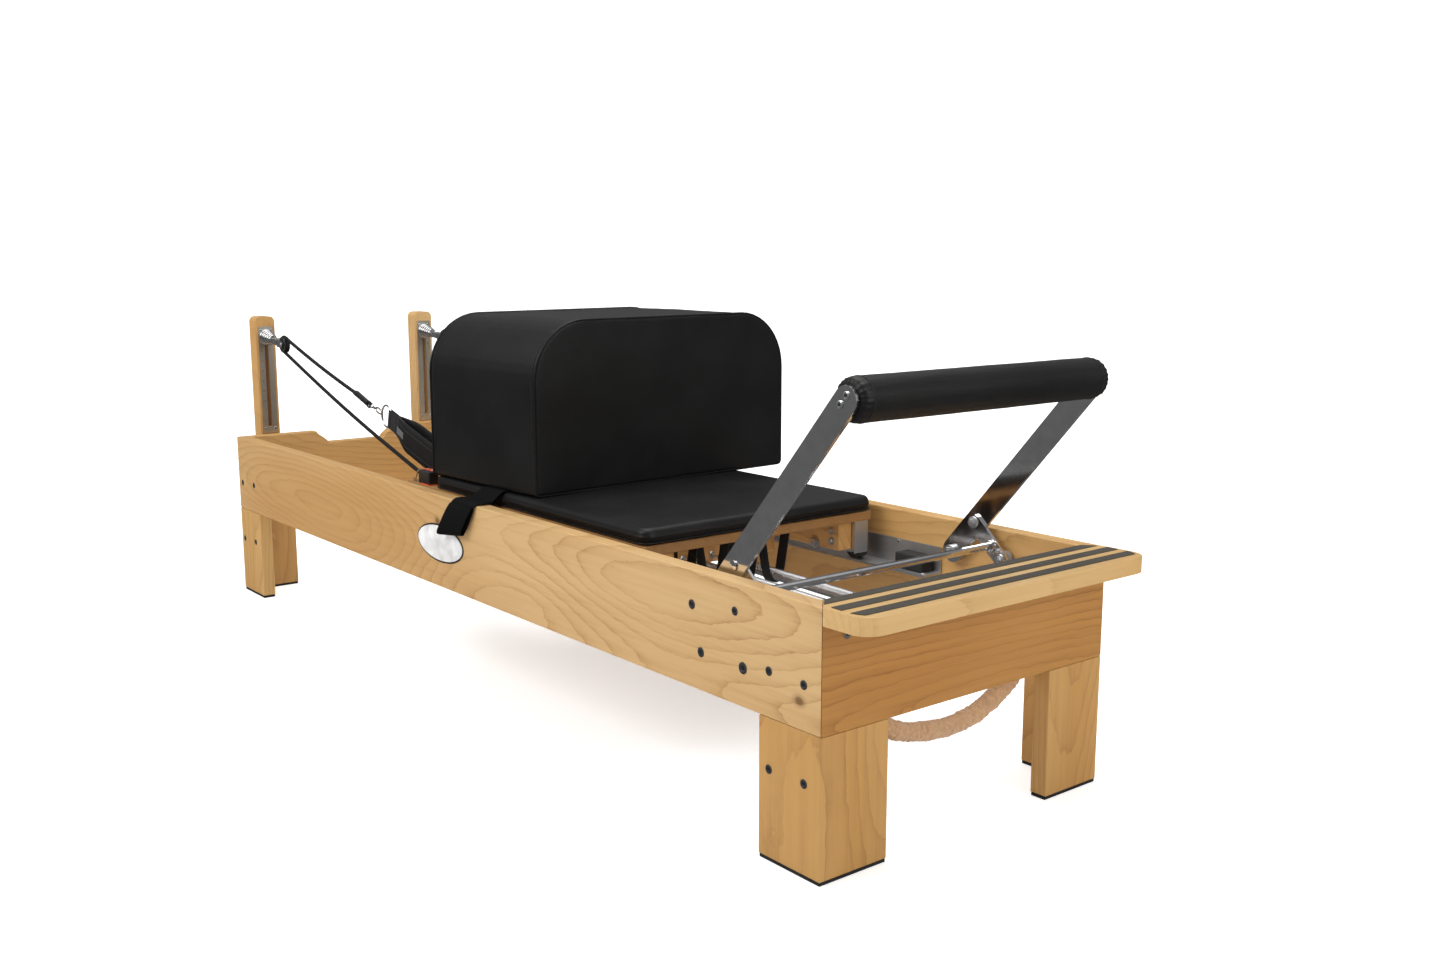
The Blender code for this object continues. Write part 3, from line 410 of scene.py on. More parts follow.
def grip_mat(name):
    m = Mat(name)
    c = m.coords()
    a = m.noise(c, 700.0, 4.0, 0.7)
    b = m.noise(c, 60.0, 3.0)
    col = m.mix(a, (0.026, 0.023, 0.018), (0.100, 0.090, 0.072))
    col = m.mix(m.ramp(b, [(0.45, 0.0), (0.7, 0.3)]), col, (0.085, 0.076, 0.060))
    return m.done(col, 0.88, m.bump(a, 0.0007, 0.9))


M_RAIL_L = wood("rail_left_wood", "x", 0.35, (0.600, 0.382, 0.165), (0.370, 0.180, 0.050), 0.78, 32.0, True, 1.5, 0.8, 2.8)
M_RAIL_R = wood("rail_right_wood", "x", 2.85, (0.640, 0.395, 0.150), (0.390, 0.190, 0.050), 0.75, 26.0, True, 1.2)
M_FOOTEND = wood("foot_end_wood", "y", 5.4, (0.500, 0.255, 0.066), (0.235, 0.090, 0.017), 0.95, 58.0, True, 1.6, 0.55, 2.4)
M_HEADEND = wood("head_end_wood", "y", 7.9, (0.590, 0.340, 0.118), (0.330, 0.150, 0.038), 0.85, 40.0, True, 1.3, 0.6, 2.6)
M_LEG = [wood("leg_wood_%d" % i, "z", 3.3 + 2.1 * i, (0.600, 0.360, 0.125), (0.340, 0.160, 0.045),
              0.75, 44.0, True, 1.5, 0.7, 2.2) for i in range(4)]
M_PLATFORM = wood("platform_wood", "y", 4.2, (0.640, 0.415, 0.170), (0.430, 0.230, 0.075), 0.45, 30.0, True, 1.3, 0.5, 2.0)
M_RISER = wood("riser_wood", "z", 9.1, (0.640, 0.400, 0.165), (0.400, 0.205, 0.060), 0.5, 24.0, False, 1.3, 0.6, 2.0)
M_RUNNER = wood("runner_wood", "x", 6.1, (0.560, 0.315, 0.108), (0.310, 0.140, 0.040), 0.8, 30.0, False, 1.3, 0.6, 2.0)
M_PLY = ply_mat("carriage_ply")
M_VINYL = vinyl("black_vinyl_box")
M_PADV = vinyl("black_vinyl_pad", (0.0072, 0.0072, 0.0076), 0.42)
M_ROLLV = vinyl("black_vinyl_roll", (0.0085, 0.0080, 0.0080), 0.44)
M_PIPE = vinyl("black_piping", (0.0080, 0.0080, 0.0084), 0.36, 0.5)
M_CHROME = metal("chrome_plate", (0.80, 0.80, 0.81), 0.045)
M_SPRING = metal("spring_chrome", (0.74, 0.74, 0.75), 0.10)
M_ZINC = metal("zinc_plate", (0.72, 0.74, 0.76), 0.24, None, 0.10)
M_DARKSTEEL = metal("dark_bolt_steel", (0.26, 0.28, 0.31), 0.30, None, 0.08)
M_ALU = metal("anodised_aluminium", (0.60, 0.61, 0.62), 0.34, "x", 0.05)
M_PLATE = metal("riser_plate_steel", (0.62, 0.58, 0.50), 0.30, "z", 0.08)
M_RUBBER = plastic("black_rubber", (0.013, 0.013, 0.013), 0.80, 300.0, 0.0004)
M_NYLON = plastic("black_nylon", (0.016, 0.016, 0.017), 0.45)
M_HUB = plastic("grey_nylon", (0.20, 0.20, 0.20), 0.45)
# painted shade: near-black fill standing for the shade inside the screws' hexagon sockets
M_SOCKET_SHADE = plastic("dark_socket", (0.010, 0.010, 0.011), 0.6)
M_WEB = woven("black_webbing")
M_WEBDULL = woven("soft_webbing", (0.0026, 0.0026, 0.0028), True, 420.0, 0.10, 0.0)
M_WEB_CAD = woven("black_sling_webbing", uv=False)
M_PADWEB = vinyl("strap_padding", (0.0085, 0.0085, 0.0092), 0.60, 1.6)
M_ROPE = braid("black_rope_braid")
M_FLEECE = fleece_mat("tan_fleece")
M_GRIP = grip_mat("grip_strip")
M_LABEL = plastic("woven_label", (0.085, 0.088, 0.092), 0.85, 900.0, 0.0003)
M_PLAQUE = plastic("plaque_face", (0.62, 0.62, 0.62), 0.45, 60.0, 0.00005)
M_PLAQUE_RIM = plastic("plaque_rim", (0.014, 0.014, 0.015), 0.4)
M_SLEEVE = plastic("shrink_sleeve", (0.0100, 0.0100, 0.0108), 0.42, 90.0, 0.0006)
M_ORANGE = plastic("orange_liner", (0.78, 0.085, 0.018), 0.55)
M_THREAD = plastic("black_thread", (0.020, 0.020, 0.021), 0.7)

# ----------------------------------------------------------------------------
# the machined and timber pieces keep their shapes and get their finish
# ----------------------------------------------------------------------------
FINISH = {
    "side_rail_left": M_RAIL_L, "side_rail_right": M_RAIL_R, "foot_end_board": M_FOOTEND,
    "head_end_board": M_HEADEND, "standing_platform": M_PLATFORM,
    "leg_foot_left": M_LEG[0], "leg_foot_right": M_LEG[1], "leg_head_left": M_LEG[2],
    "leg_head_right": M_LEG[3],
    "riser_left": M_RISER, "riser_right": M_RISER, "runner_left": M_RUNNER,
    "runner_right": M_RUNNER, "spring_anchor": M_RUNNER, "carriage_board": M_PLY,
    "track_left": M_ALU, "track_right": M_ALU, "stop_foot_left": M_RUBBER,
    "stop_foot_right": M_RUBBER, "spring_bar": M_ZINC, "spring_sling": M_WEB_CAD,
    "footbar_hinge_left": M_ZINC, "footbar_hinge_right": M_ZINC,
    "brace_ledge_left": M_ZINC, "brace_ledge_right": M_ZINC,
    "footbar_arm_left": M_CHROME, "footbar_arm_right": M_CHROME, "brace_frame": M_CHROME,
    "rope_clamp_left": M_NYLON, "rope_clamp_right": M_NYLON,
}
for n in ("foot_pad_foot_left", "foot_pad_foot_right", "foot_pad_head_left", "foot_pad_head_right"):
    FINISH[n] = M_RUBBER
for n, m in FINISH.items():
    o = NODES[n]
    o.data.materials.clear()
    o.data.materials.append(m)
    o.data.shade_smooth()
    o.data.set_sharp_from_angle(angle=rad(32))


# ----------------------------------------------------------------------------
# shape makers
# ----------------------------------------------------------------------------
def make(name, verts, faces, mat, body, angle=38.0, uvs=None):
    me = bpy.data.meshes.new(name)
    me.from_pydata([tuple(v) for v in verts], [], faces)
    me.update()
    bm = bmesh.new()
    bm.from_mesh(me)
    bmesh.ops.recalc_face_normals(bm, faces=bm.faces)
    bm.to_mesh(me)
    bm.free()
    if uvs is not None:
        lay = me.uv_layers.new(name="UVMap")
        for lp in me.loops:
            lay.data[lp.index].uv = uvs[lp.vertex_index]
    me.shade_smooth()
    me.set_sharp_from_angle(angle=rad(angle))
    o = bpy.data.objects.new(name, me)
    scn.collection.objects.link(o)
    me.materials.append(mat)
    if body:
        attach(o, body)
    return o


def frames(path, closed=False):
    n = len(path)
    tans = []
    for i in range(n):
        a = path[(i - 1) % n] if (closed or i > 0) else path[0]
        b = path[(i + 1) % n] if (closed or i < n - 1) else path[n - 1]
        tans.append((b - a).normalized())
    t = tans[0]
    ref = Vector((0, 0, 1)) if abs(t.z) < 0.9 else Vector((1, 0, 0))
    u = t.cross(ref).normalized()
    out = []
    for i in range(n):
        if i:
            q = tans[i - 1].rotation_difference(tans[i])
            u = q @ u
            u = (u - tans[i] * u.dot(tans[i])).normalized()
        out.append((tans[i], u.copy(), tans[i].cross(u)))
    return out


def tube(name, path, r, mat, body, sides=12, closed=False, angle=50.0):
    path = [Vector(p) for p in path]
    n = len(path)
    fr = frames(path, closed)
    vs, uv, fs = [], [], []
    dist = 0.0
    for i, p in enumerate(path):
        if i:
            dist += (p - path[i - 1]).length
        rr = r[i] if isinstance(r, (list, tuple)) else r
        for j in range(sides):
            a = 2 * math.pi * j / sides
            vs.append(p + (fr[i][1] * math.cos(a) + fr[i][2] * math.sin(a)) * rr)
            uv.append((j / sides, dist))
    segs = n if closed else n - 1
    for i in range(segs):
        k = (i + 1) % n
        for j in range(sides):
            l = (j + 1) % sides
            fs.append((i * sides + j, i * sides + l, k * sides + l, k * sides + j))
    if not closed:
        fs.append(tuple(range(sides))[::-1])
        fs.append(tuple((n - 1) * sides + j for j in range(sides)))
    return make(name, vs, fs, mat, body, angle, uv)


def lathe(name, prof, at, axis, mat, body, steps=40, wave=None, angle=35.0):
    """prof: (radius, height) list; closed onto the axis where radius is 0."""
    z = Vector(axis).normalized()
    ref = Vector((0, 0, 1)) if abs(z.z) < 0.9 else Vector((1, 0, 0))
    x = z.cross(ref).normalized()
    y = z.cross(x)
    at = Vector(at)
    vs, rows = [], []
    for r, h in prof:
        if r <= 1e-7:
            rows.append([len(vs)])
            vs.append(at + z * h)
            continue
        row = []
        for j in range(steps):
            a = 2 * math.pi * j / steps
            rr, hh = (r, h) if wave is None else wave(r, h, a)
            row.append(len(vs))
            vs.append(at + (x * math.cos(a) + y * math.sin(a)) * rr + z * hh)
        rows.append(row)
    fs = []
    for a, b in zip(rows, rows[1:]):
        for j in range(steps):
            l = (j + 1) % steps
            if len(a) == 1 and len(b) == 1:
                continue
            if len(a) == 1:
                fs.append((a[0], b[j], b[l]))
            elif len(b) == 1:
                fs.append((a[j], b[0], a[l]))
            else:
                fs.append((a[j], b[j], b[l], a[l]))
    return make(name, vs, fs, mat, body, angle)


def flat(name, loops, plane, lo, hi, mat, body, r=0.0, seg=3):
    """A plate cut to one outline and any holes, extruded along the plane's normal."""
    cu = bpy.data.curves.new(name, "CURVE")
    cu.dimensions = "2D"
    cu.fill_mode = "BOTH"
    cu.extrude = (hi - lo) / 2
    for lp in loops:
        sp = cu.splines.new("POLY")
        sp.points.add(len(lp) - 1)
        for p, q in zip(sp.points, lp):
            p.co = (q[0], q[1], 0, 1)
        sp.use_cyclic_u = True
    tmp = bpy.data.objects.new(name, cu)
    scn.collection.objects.link(tmp)
    bpy.context.view_layer.update()
    me = bpy.data.meshes.new_from_object(tmp.evaluated_get(bpy.context.evaluated_depsgraph_get()))
    bpy.data.objects.remove(tmp, do_unlink=True)
    mid = (lo + hi) / 2
    if plane == "xy":
        mw = Matrix.Translation((OX, OY, mid))
    elif plane == "xz":
        mw = Matrix.Translation((OX, OY + mid, 0.0)) @ Matrix.Rotation(rad(90), 4, "X")
    else:
        mw = Matrix.Translation((OX + mid, OY, 0.0)) @ Matrix(
            ((0, 0, 1, 0), (1, 0, 0, 0), (0, 1, 0, 0), (0, 0, 0, 1)))
    me.transform(mw)
    bm = bmesh.new()
    bm.from_mesh(me)
    bmesh.ops.remove_doubles(bm, verts=bm.verts, dist=1e-5)
    bmesh.ops.recalc_face_normals(bm, faces=bm.faces)
    bm.to_mesh(me)
    bm.free()
    me.materials.clear()
    me.materials.append(mat)
    o = bpy.data.objects.new(name, me)
    o.name = name
    scn.collection.objects.link(o)
    if r:
        m = o.modifiers.new("edge", "BEVEL")
        m.width = r
        m.segments = seg
        m.limit_method = "ANGLE"
        m.angle_limit = rad(35)
        m.harden_normals = True
    me.shade_smooth()
    me.set_sharp_from_angle(angle=rad(40))
    if body:
        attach(o, body)
    return o


def block(name, x0, x1, y0, y1, z0, z1, mat, body, r=0.001, seg=3):
    return flat(name, [[(x0, y0), (x1, y0), (x1, y1), (x0, y1)]], "xy", z0, z1, mat, body, r, seg)


def circle(cx, cz, r, n=24):
    return [(cx + r * math.cos(2 * math.pi * i / n), cz + r * math.sin(2 * math.pi * i / n))
            for i in range(n)]


def capsule(a, b, r, n=12):
    ang = math.atan2(b[1] - a[1], b[0] - a[0])
    pts = [(a[0] + r * math.cos(ang + math.pi / 2 + math.pi * i / n),
            a[1] + r * math.sin(ang + math.pi / 2 + math.pi * i / n)) for i in range(n + 1)]
    pts += [(b[0] + r * math.cos(ang - math.pi / 2 + math.pi * i / n),
             b[1] + r * math.sin(ang - math.pi / 2 + math.pi * i / n)) for i in range(n + 1)]
    return pts


def band(name, path, side, width, thick, mat, body, closed=False, bulge=0.0):
    """A strap: a flat closed band along a path; side is the direction of its width."""
    path = [Vector(p) for p in path]
    n = len(path)
    side0 = side
    sec = []
    m = 8
    for j in range(m + 1):
        t = -1 + 2 * j / m
        sec.append((t, 1.0))
    for j in range(m, -1, -1):
        sec.append((-1 + 2 * j / m, -1.0))
    vs, uv, fs = [], [], []
    k = len(sec)
    dist = 0.0
    for i, p in enumerate(path):
        a = path[(i - 1) % n] if (closed or i > 0) else path[0]
        b = path[(i + 1) % n] if (closed or i < n - 1) else path[-1]
        t = (b - a).normalized()
        s = Vector(side0[i] if isinstance(side0, list) else side0)
        s = (s - t * s.dot(t)).normalized()
        nrm = t.cross(s).normalized()
        if i:
            dist += (p - path[i - 1]).length
        th = thick[i] if isinstance(thick, (list, tuple)) else thick
        w = width[i] if isinstance(width, (list, tuple)) else width
        for q, sgn in sec:
            e = math.sqrt(max(0.0, 1 - abs(q) ** 6)) if bulge else (1.0 if abs(q) < 0.99 else 0.45)
            vs.append(p + s * (q * w / 2) + nrm * (sgn * th / 2 * (0.25 + 0.75 * e if bulge else e)))
            uv.append((q * w / 2, dist))
    segs = n if closed else n - 1
    for i in range(segs):
        l = (i + 1) % n
        for j in range(k):
            j2 = (j + 1) % k
            fs.append((i * k + j, i * k + j2, l * k + j2, l * k + j))
    if not closed:
        fs.append(tuple(range(k))[::-1])
        fs.append(tuple((n - 1) * k + j for j in range(k)))
    return make(name, vs, fs, mat, body, 45.0, uv)


def between(name, A, B, thick, mat, body, closed=False, bulge=False, cols=10, ends=(0.0, 1.0)):
    """A strap spanned between two edge lines A and B, with a rounded section."""
    A, B = [Vector(q) for q in A], [Vector(q) for q in B]
    n, sec = len(A), []
    for j in range(cols + 1):
        sec.append((j / cols, 1.0))
    for j in range(cols, -1, -1):
        sec.append((j / cols, -1.0))
    k, vs, uv, fs, run = len(sec), [], [], [], 0.0
    mid = [(a + b) / 2 for a, b in zip(A, B)]
    for i in range(n):
        a = mid[(i - 1) % n] if (closed or i > 0) else mid[0]
        b = mid[(i + 1) % n] if (closed or i < n - 1) else mid[-1]
        t, w = (b - a).normalized(), B[i] - A[i]
        nrm = t.cross(w).normalized()
        run += (mid[i] - mid[i - 1]).length if i else 0.0
        th = thick[i] if isinstance(thick, (list, tuple)) else thick
        for q, g in sec:
            e = abs(2 * q - 1)
            prof = math.sqrt(max(0.0, 1 - e ** 5)) * 0.82 + 0.18 if bulge else (1.0 if e < 0.99 else 0.4)
            vs.append(A[i] + w * q + nrm * (g * th / 2 * prof))
            uv.append((q * w.length, run))
    for i in range(n if closed else n - 1):
        l = (i + 1) % n
        for j in range(k):
            j2 = (j + 1) % k
            fs.append((i * k + j, i * k + j2, l * k + j2, l * k + j))
    if not closed:
        fs.append(tuple(range(k))[::-1])
        fs.append(tuple((n - 1) * k + j for j in range(k)))
    return make(name, vs, fs, mat, body, 48.0, uv)


def smooth(keys, n=8, closed=False):
    k = [Vector(p) for p in keys]
    m = len(k)
    out = []
    rng = m if closed else m - 1
    for i in range(rng):
        if closed:
            a, b, c, d = k[(i - 1) % m], k[i], k[(i + 1) % m], k[(i + 2) % m]
        else:
            b, c = k[i], k[i + 1]
            a = k[i - 1] if i > 0 else b * 2 - c
            d = k[i + 2] if i + 2 < m else c * 2 - b
        for j in range(n):
            t = j / n
            out.append(0.5 * ((2 * b) + (c - a) * t + (2 * a - 5 * b + 4 * c - d) * t * t
                              + (3 * b - a - 3 * c + d) * t * t * t))
    if not closed:
        out.append(k[-1])
    return out


def round_rect(hw, lo, hi, radii, n=10):
    """Outline in a plane, anticlockwise from the lower left; radii: bl, br, tr, tl."""
    cs = [(-hw, lo, radii[0], 180), (hw, lo, radii[1], 270), (hw, hi, radii[2], 0),
          (-hw, hi, radii[3], 90)]
    pts = []
    for x, y, r, a0 in cs:
        cx = x + (r if x < 0 else -r)
        cy = y + (r if y == lo else -r)
        for i in range(n + 1):
            a = rad(a0 + 90 * i / n)
            pts.append((cx + r * math.cos(a), cy + r * math.sin(a)))
    return pts


def resample(pts, n):
    """n points evenly spread along a closed outline, keeping its start."""
    ds = [0.0]
    for i in range(len(pts)):
        a, b = pts[i], pts[(i + 1) % len(pts)]
        ds.append(ds[-1] + math.hypot(b[0] - a[0], b[1] - a[1]))
    out, j = [], 0
    for i in range(n):
        s = ds[-1] * i / n
        while ds[j + 1] < s:
            j += 1
        seg = ds[j + 1] - ds[j]
        t = 0 if seg < 1e-12 else (s - ds[j]) / seg
        a, b = pts[j], pts[(j + 1) % len(pts)]
        out.append((a[0] + (b[0] - a[0]) * t, a[1] + (b[1] - a[1]) * t))
    return out


def pillow(name, hw, lo, hi, radii, half, edge, crown, waist, put, mat, body, n=240,
           rings=16, wrinkle=0.0, seed=0.0, side_rows=10, flat_low=False):
    """A stuffed block. Its face outline is a rounded rectangle, its depth 2*half.
    edge: radius of the rolled edge; crown: how far the faces swell; waist: how far
    the sides swell between the edges. put maps (u, v, depth) to the row frame."""
    cx, cy = 0.0, (lo + hi) / 2

    def outline(d):
        rr = [max(r - d, 0.0015) for r in radii]
        return resample(round_rect(hw - d, lo + d, hi - d, rr), n)
    vs, rows = [], []

    def add(pts, depth_fn):
        row = []
        for (u, v) in pts:
            row.append(len(vs))
            vs.append((u, v, depth_fn(u, v)))
        rows.append(row)
    inner = outline(edge)
    face = []
    for i in range(1, rings + 1):
        t = i / rings
        face.append((t, [(cx + (u - cx) * t, cy + (v - cy) * t) for u, v in inner]))
    for sgn in (1, -1):
        order = face if sgn > 0 else face[::-1]
        cr = crown if (sgn > 0 or not flat_low) else 0.0
        fa = [(sgn, t, pts, cr) for t, pts in order]
        if sgn < 0:
            break
        for s_, t, pts, c_ in fa:
            add(pts, lambda u, v, t=t, c_=c_: half + c_ * (1 - t ** 2.4))
    for i in range(1, 9):
        a = rad(90 - 90 * i / 8)
        d = edge * (1 - math.cos(a))
        add(outline(d), lambda u, v, a=a: half - edge + edge * math.sin(a))
    for i in range(1, side_rows):
        t = i / side_rows
        dz = (half - edge) * (1 - 2 * t)
        add(outline(-waist * math.sin(math.pi * t)), lambda u, v, dz=dz: dz)
    for i in range(0, 9):
        a = rad(90 * i / 8)
        d = edge * (1 - math.cos(a))
        add(outline(d), lambda u, v, a=a: -(half - edge) - edge * math.sin(a))
    cr = 0.0 if flat_low else crown
    for t, pts in face[::-1][1:]:
        add(pts, lambda u, v, t=t: -half - cr * (1 - t ** 2.4))
    fs = []
    for a, b in zip(rows, rows[1:]):
        for j in range(n):
            l = (j + 1) % n
            fs.append((a[j], b[j], b[l], a[l]))
    first, last = len(vs), len(vs) + 1
    vs.append((cx, cy, half + crown))
    vs.append((cx, cy, -half - cr))
    for j in range(n):
        l = (j + 1) % n
        fs.append((first, rows[0][j], rows[0][l]))
        fs.append((last, rows[-1][l], rows[-1][j]))
    world_vs = [Vector(put(*v)) for v in vs]
    o = make(name, world_vs, fs, mat, None, 60.0)
    if wrinkle:
        me = o.data
        ns = [v.normal.copy() for v in me.vertices]
        for v, nn in zip(me.vertices, ns):
            q = v.co * 9.0 + Vector((seed, seed * 2, 0))
            a = noise.noise(q) + 0.5 * noise.noise(q * 2.7)
            v.co = v.co + nn * (a * wrinkle)
        me.update()
    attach(o, body)
    return o


def bolt(name, at, axis, r, mat, body, h=0.0022, socket=True, dome=0.3):
    """A round screw head; its hexagon socket is a near-black disc of painted shade standing for the hollow."""
    prof = [(0.0, -0.0004), (r, -0.0004), (r, h * (1 - dome)), (r * 0.82, h)]
    if socket:
        prof += [(r * 0.52, h), (r * 0.48, h - 0.0008), (0.0, h - 0.0010)]
    else:
        prof += [(r * 0.5, h * 1.08), (0.0, h * 1.12)]
    o = lathe(name, prof, at, axis, mat, body, 28, None, 30.0)
    if socket:
        # painted shade: a dark hexagon disc in the recess stands for the shade in the socket's hollow
        s = lathe(name + "_socket", [(0.0, h - 0.0007), (r * 0.40, h - 0.0007),
                                     (r * 0.40, h - 0.0002), (0.0, h - 0.0003)], at, axis, M_SOCKET_SHADE,
                  body, 6, None, 30.0)
    return o


def hexnut(name, at, axis, r, h, mat, body, washer=True):
    if washer:
        lathe(name + "_washer", [(0.0, -0.0003), (r * 1.45, -0.0003), (r * 1.45, 0.0010),
                                 (r * 1.38, 0.0013), (0.0, 0.0013)], at, axis, mat, body, 32)
    lathe(name, [(0.0, 0.0011), (r * 0.98, 0.0011), (r, 0.0018), (r, h - 0.0012), (r * 0.88, h),
                 (r * 0.45, h), (r * 0.42, h + 0.0018), (0.0, h + 0.0022)], at, axis, mat, body, 6,
          None, 20.0)


# ----------------------------------------------------------------------------
# cords: the two ropes run from the carriage clamps round the pulleys to the straps
# ----------------------------------------------------------------------------
ROPE_R = 0.0045
TILT = rad(6.0)
REACH = 0.134
AXLE = (-L2 + REACH * math.cos(TILT), 0.690 - REACH * math.sin(TILT))
LAY = 0.015 + ROPE_R + 0.0004
UP_END = (-0.6022, 0.2345, 0.5822)
SLEEVE_END = (-0.5180, 0.2345, 0.5565)
HOOK_END = (-0.4440, 0.2345, 0.5440)
CLAMP_Y = 0.2605
CLAMP_X0, CLAMP_X1 = -0.2020, -0.1520
LOW_END = (-0.2030, CLAMP_Y, 0.4335)


def tangent(px, pz, upper):
    dx, dz = px - AXLE[0], pz - AXLE[1]
    a, off = math.atan2(dz, dx), math.acos(LAY / math.hypot(dx, dz))
    return a + off if upper else a - off


A_UP = tangent(UP_END[0], UP_END[2], True)
A_LO = tangent(LOW_END[0], LOW_END[2], False)


def rope_path(s):
    pts = [P(UP_END[0] + (SLEEVE_END[0] - UP_END[0]) * t, s * UP_END[1], UP_END[2] + (SLEEVE_END[2] - UP_END[2]) * t)
           for t in (0.80, 0.60, 0.40, 0.20)]
    yw = s * 0.2355
    pu = (AXLE[0] + LAY * math.cos(A_UP), AXLE[1] + LAY * math.sin(A_UP))
    pl = (AXLE[0] + LAY * math.cos(A_LO), AXLE[1] + LAY * math.sin(A_LO))
    for i in range(36):
        t = i / 36
        pts.append(P(UP_END[0] + (pu[0] - UP_END[0]) * t, s * UP_END[1] + (yw - s * UP_END[1]) * t,
                     UP_END[2] + (pu[1] - UP_END[2]) * t - 0.004 * math.sin(math.pi * t)))
    sweep = A_LO + 2 * math.pi - A_UP
    for i in range(25):
        a = A_UP + sweep * i / 24
        pts.append(P(AXLE[0] + LAY * math.cos(a), yw, AXLE[1] + LAY * math.sin(a)))
    for i in range(1, 49):
        t = i / 48
        pts.append(P(pl[0] + (LOW_END[0] - pl[0]) * t, yw + (s * LOW_END[1] - yw) * t,
                     pl[1] + (LOW_END[2] - pl[1]) * t - 0.008 * math.sin(math.pi * t)))
    return pts


for s, sn in ((-1, "left"), (1, "right")):
    path = rope_path(s)[::-1]
    rope = tube("pulley_rope_" + sn, path, ROPE_R, M_ROPE, None, 12)
    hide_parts("rope_" + sn)
    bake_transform(rope)

# ----------------------------------------------------------------------------
# rope ends, snap hooks, rings and padded hand straps
# ----------------------------------------------------------------------------
STRAP_AT, STRAP_DIP = (-0.4160, 0.5368), rad(14.7)


def strap_point(along_, y, up_):
    c, d = math.cos(STRAP_DIP), math.sin(STRAP_DIP)
    return P(STRAP_AT[0] + along_ * c + up_ * d, y, STRAP_AT[1] - along_ * d + up_ * c)


def strap_edge(along_, top):
    t = min(1.0, max(0.0, (along_ - 0.030) / 0.085))
    t = t * t * (3 - 2 * t)
    return 0.0222 + 0.0016 * t if top else -0.0222 - 0.0200 * t


def ring_points(c, u, v, r, n_=28, squash=1.0):
    return [c + u * (r * math.cos(2 * math.pi * i / n_)) + v * (r * squash * math.sin(2 * math.pi * i / n_))
            for i in range(n_)]


LOOP = [(0.048, 0.2352), (0.066, 0.2385), (0.090, 0.2410), (0.115, 0.2424), (0.170, 0.2426), (0.222, 0.2424),
        (0.2390, 0.2404), (0.2485, 0.2350), (0.2522, 0.2275), (0.2485, 0.2200), (0.2390, 0.2146), (0.222, 0.2126),
        (0.170, 0.2124), (0.115, 0.2128), (0.090, 0.2158), (0.066, 0.2240), (0.048, 0.2318)]

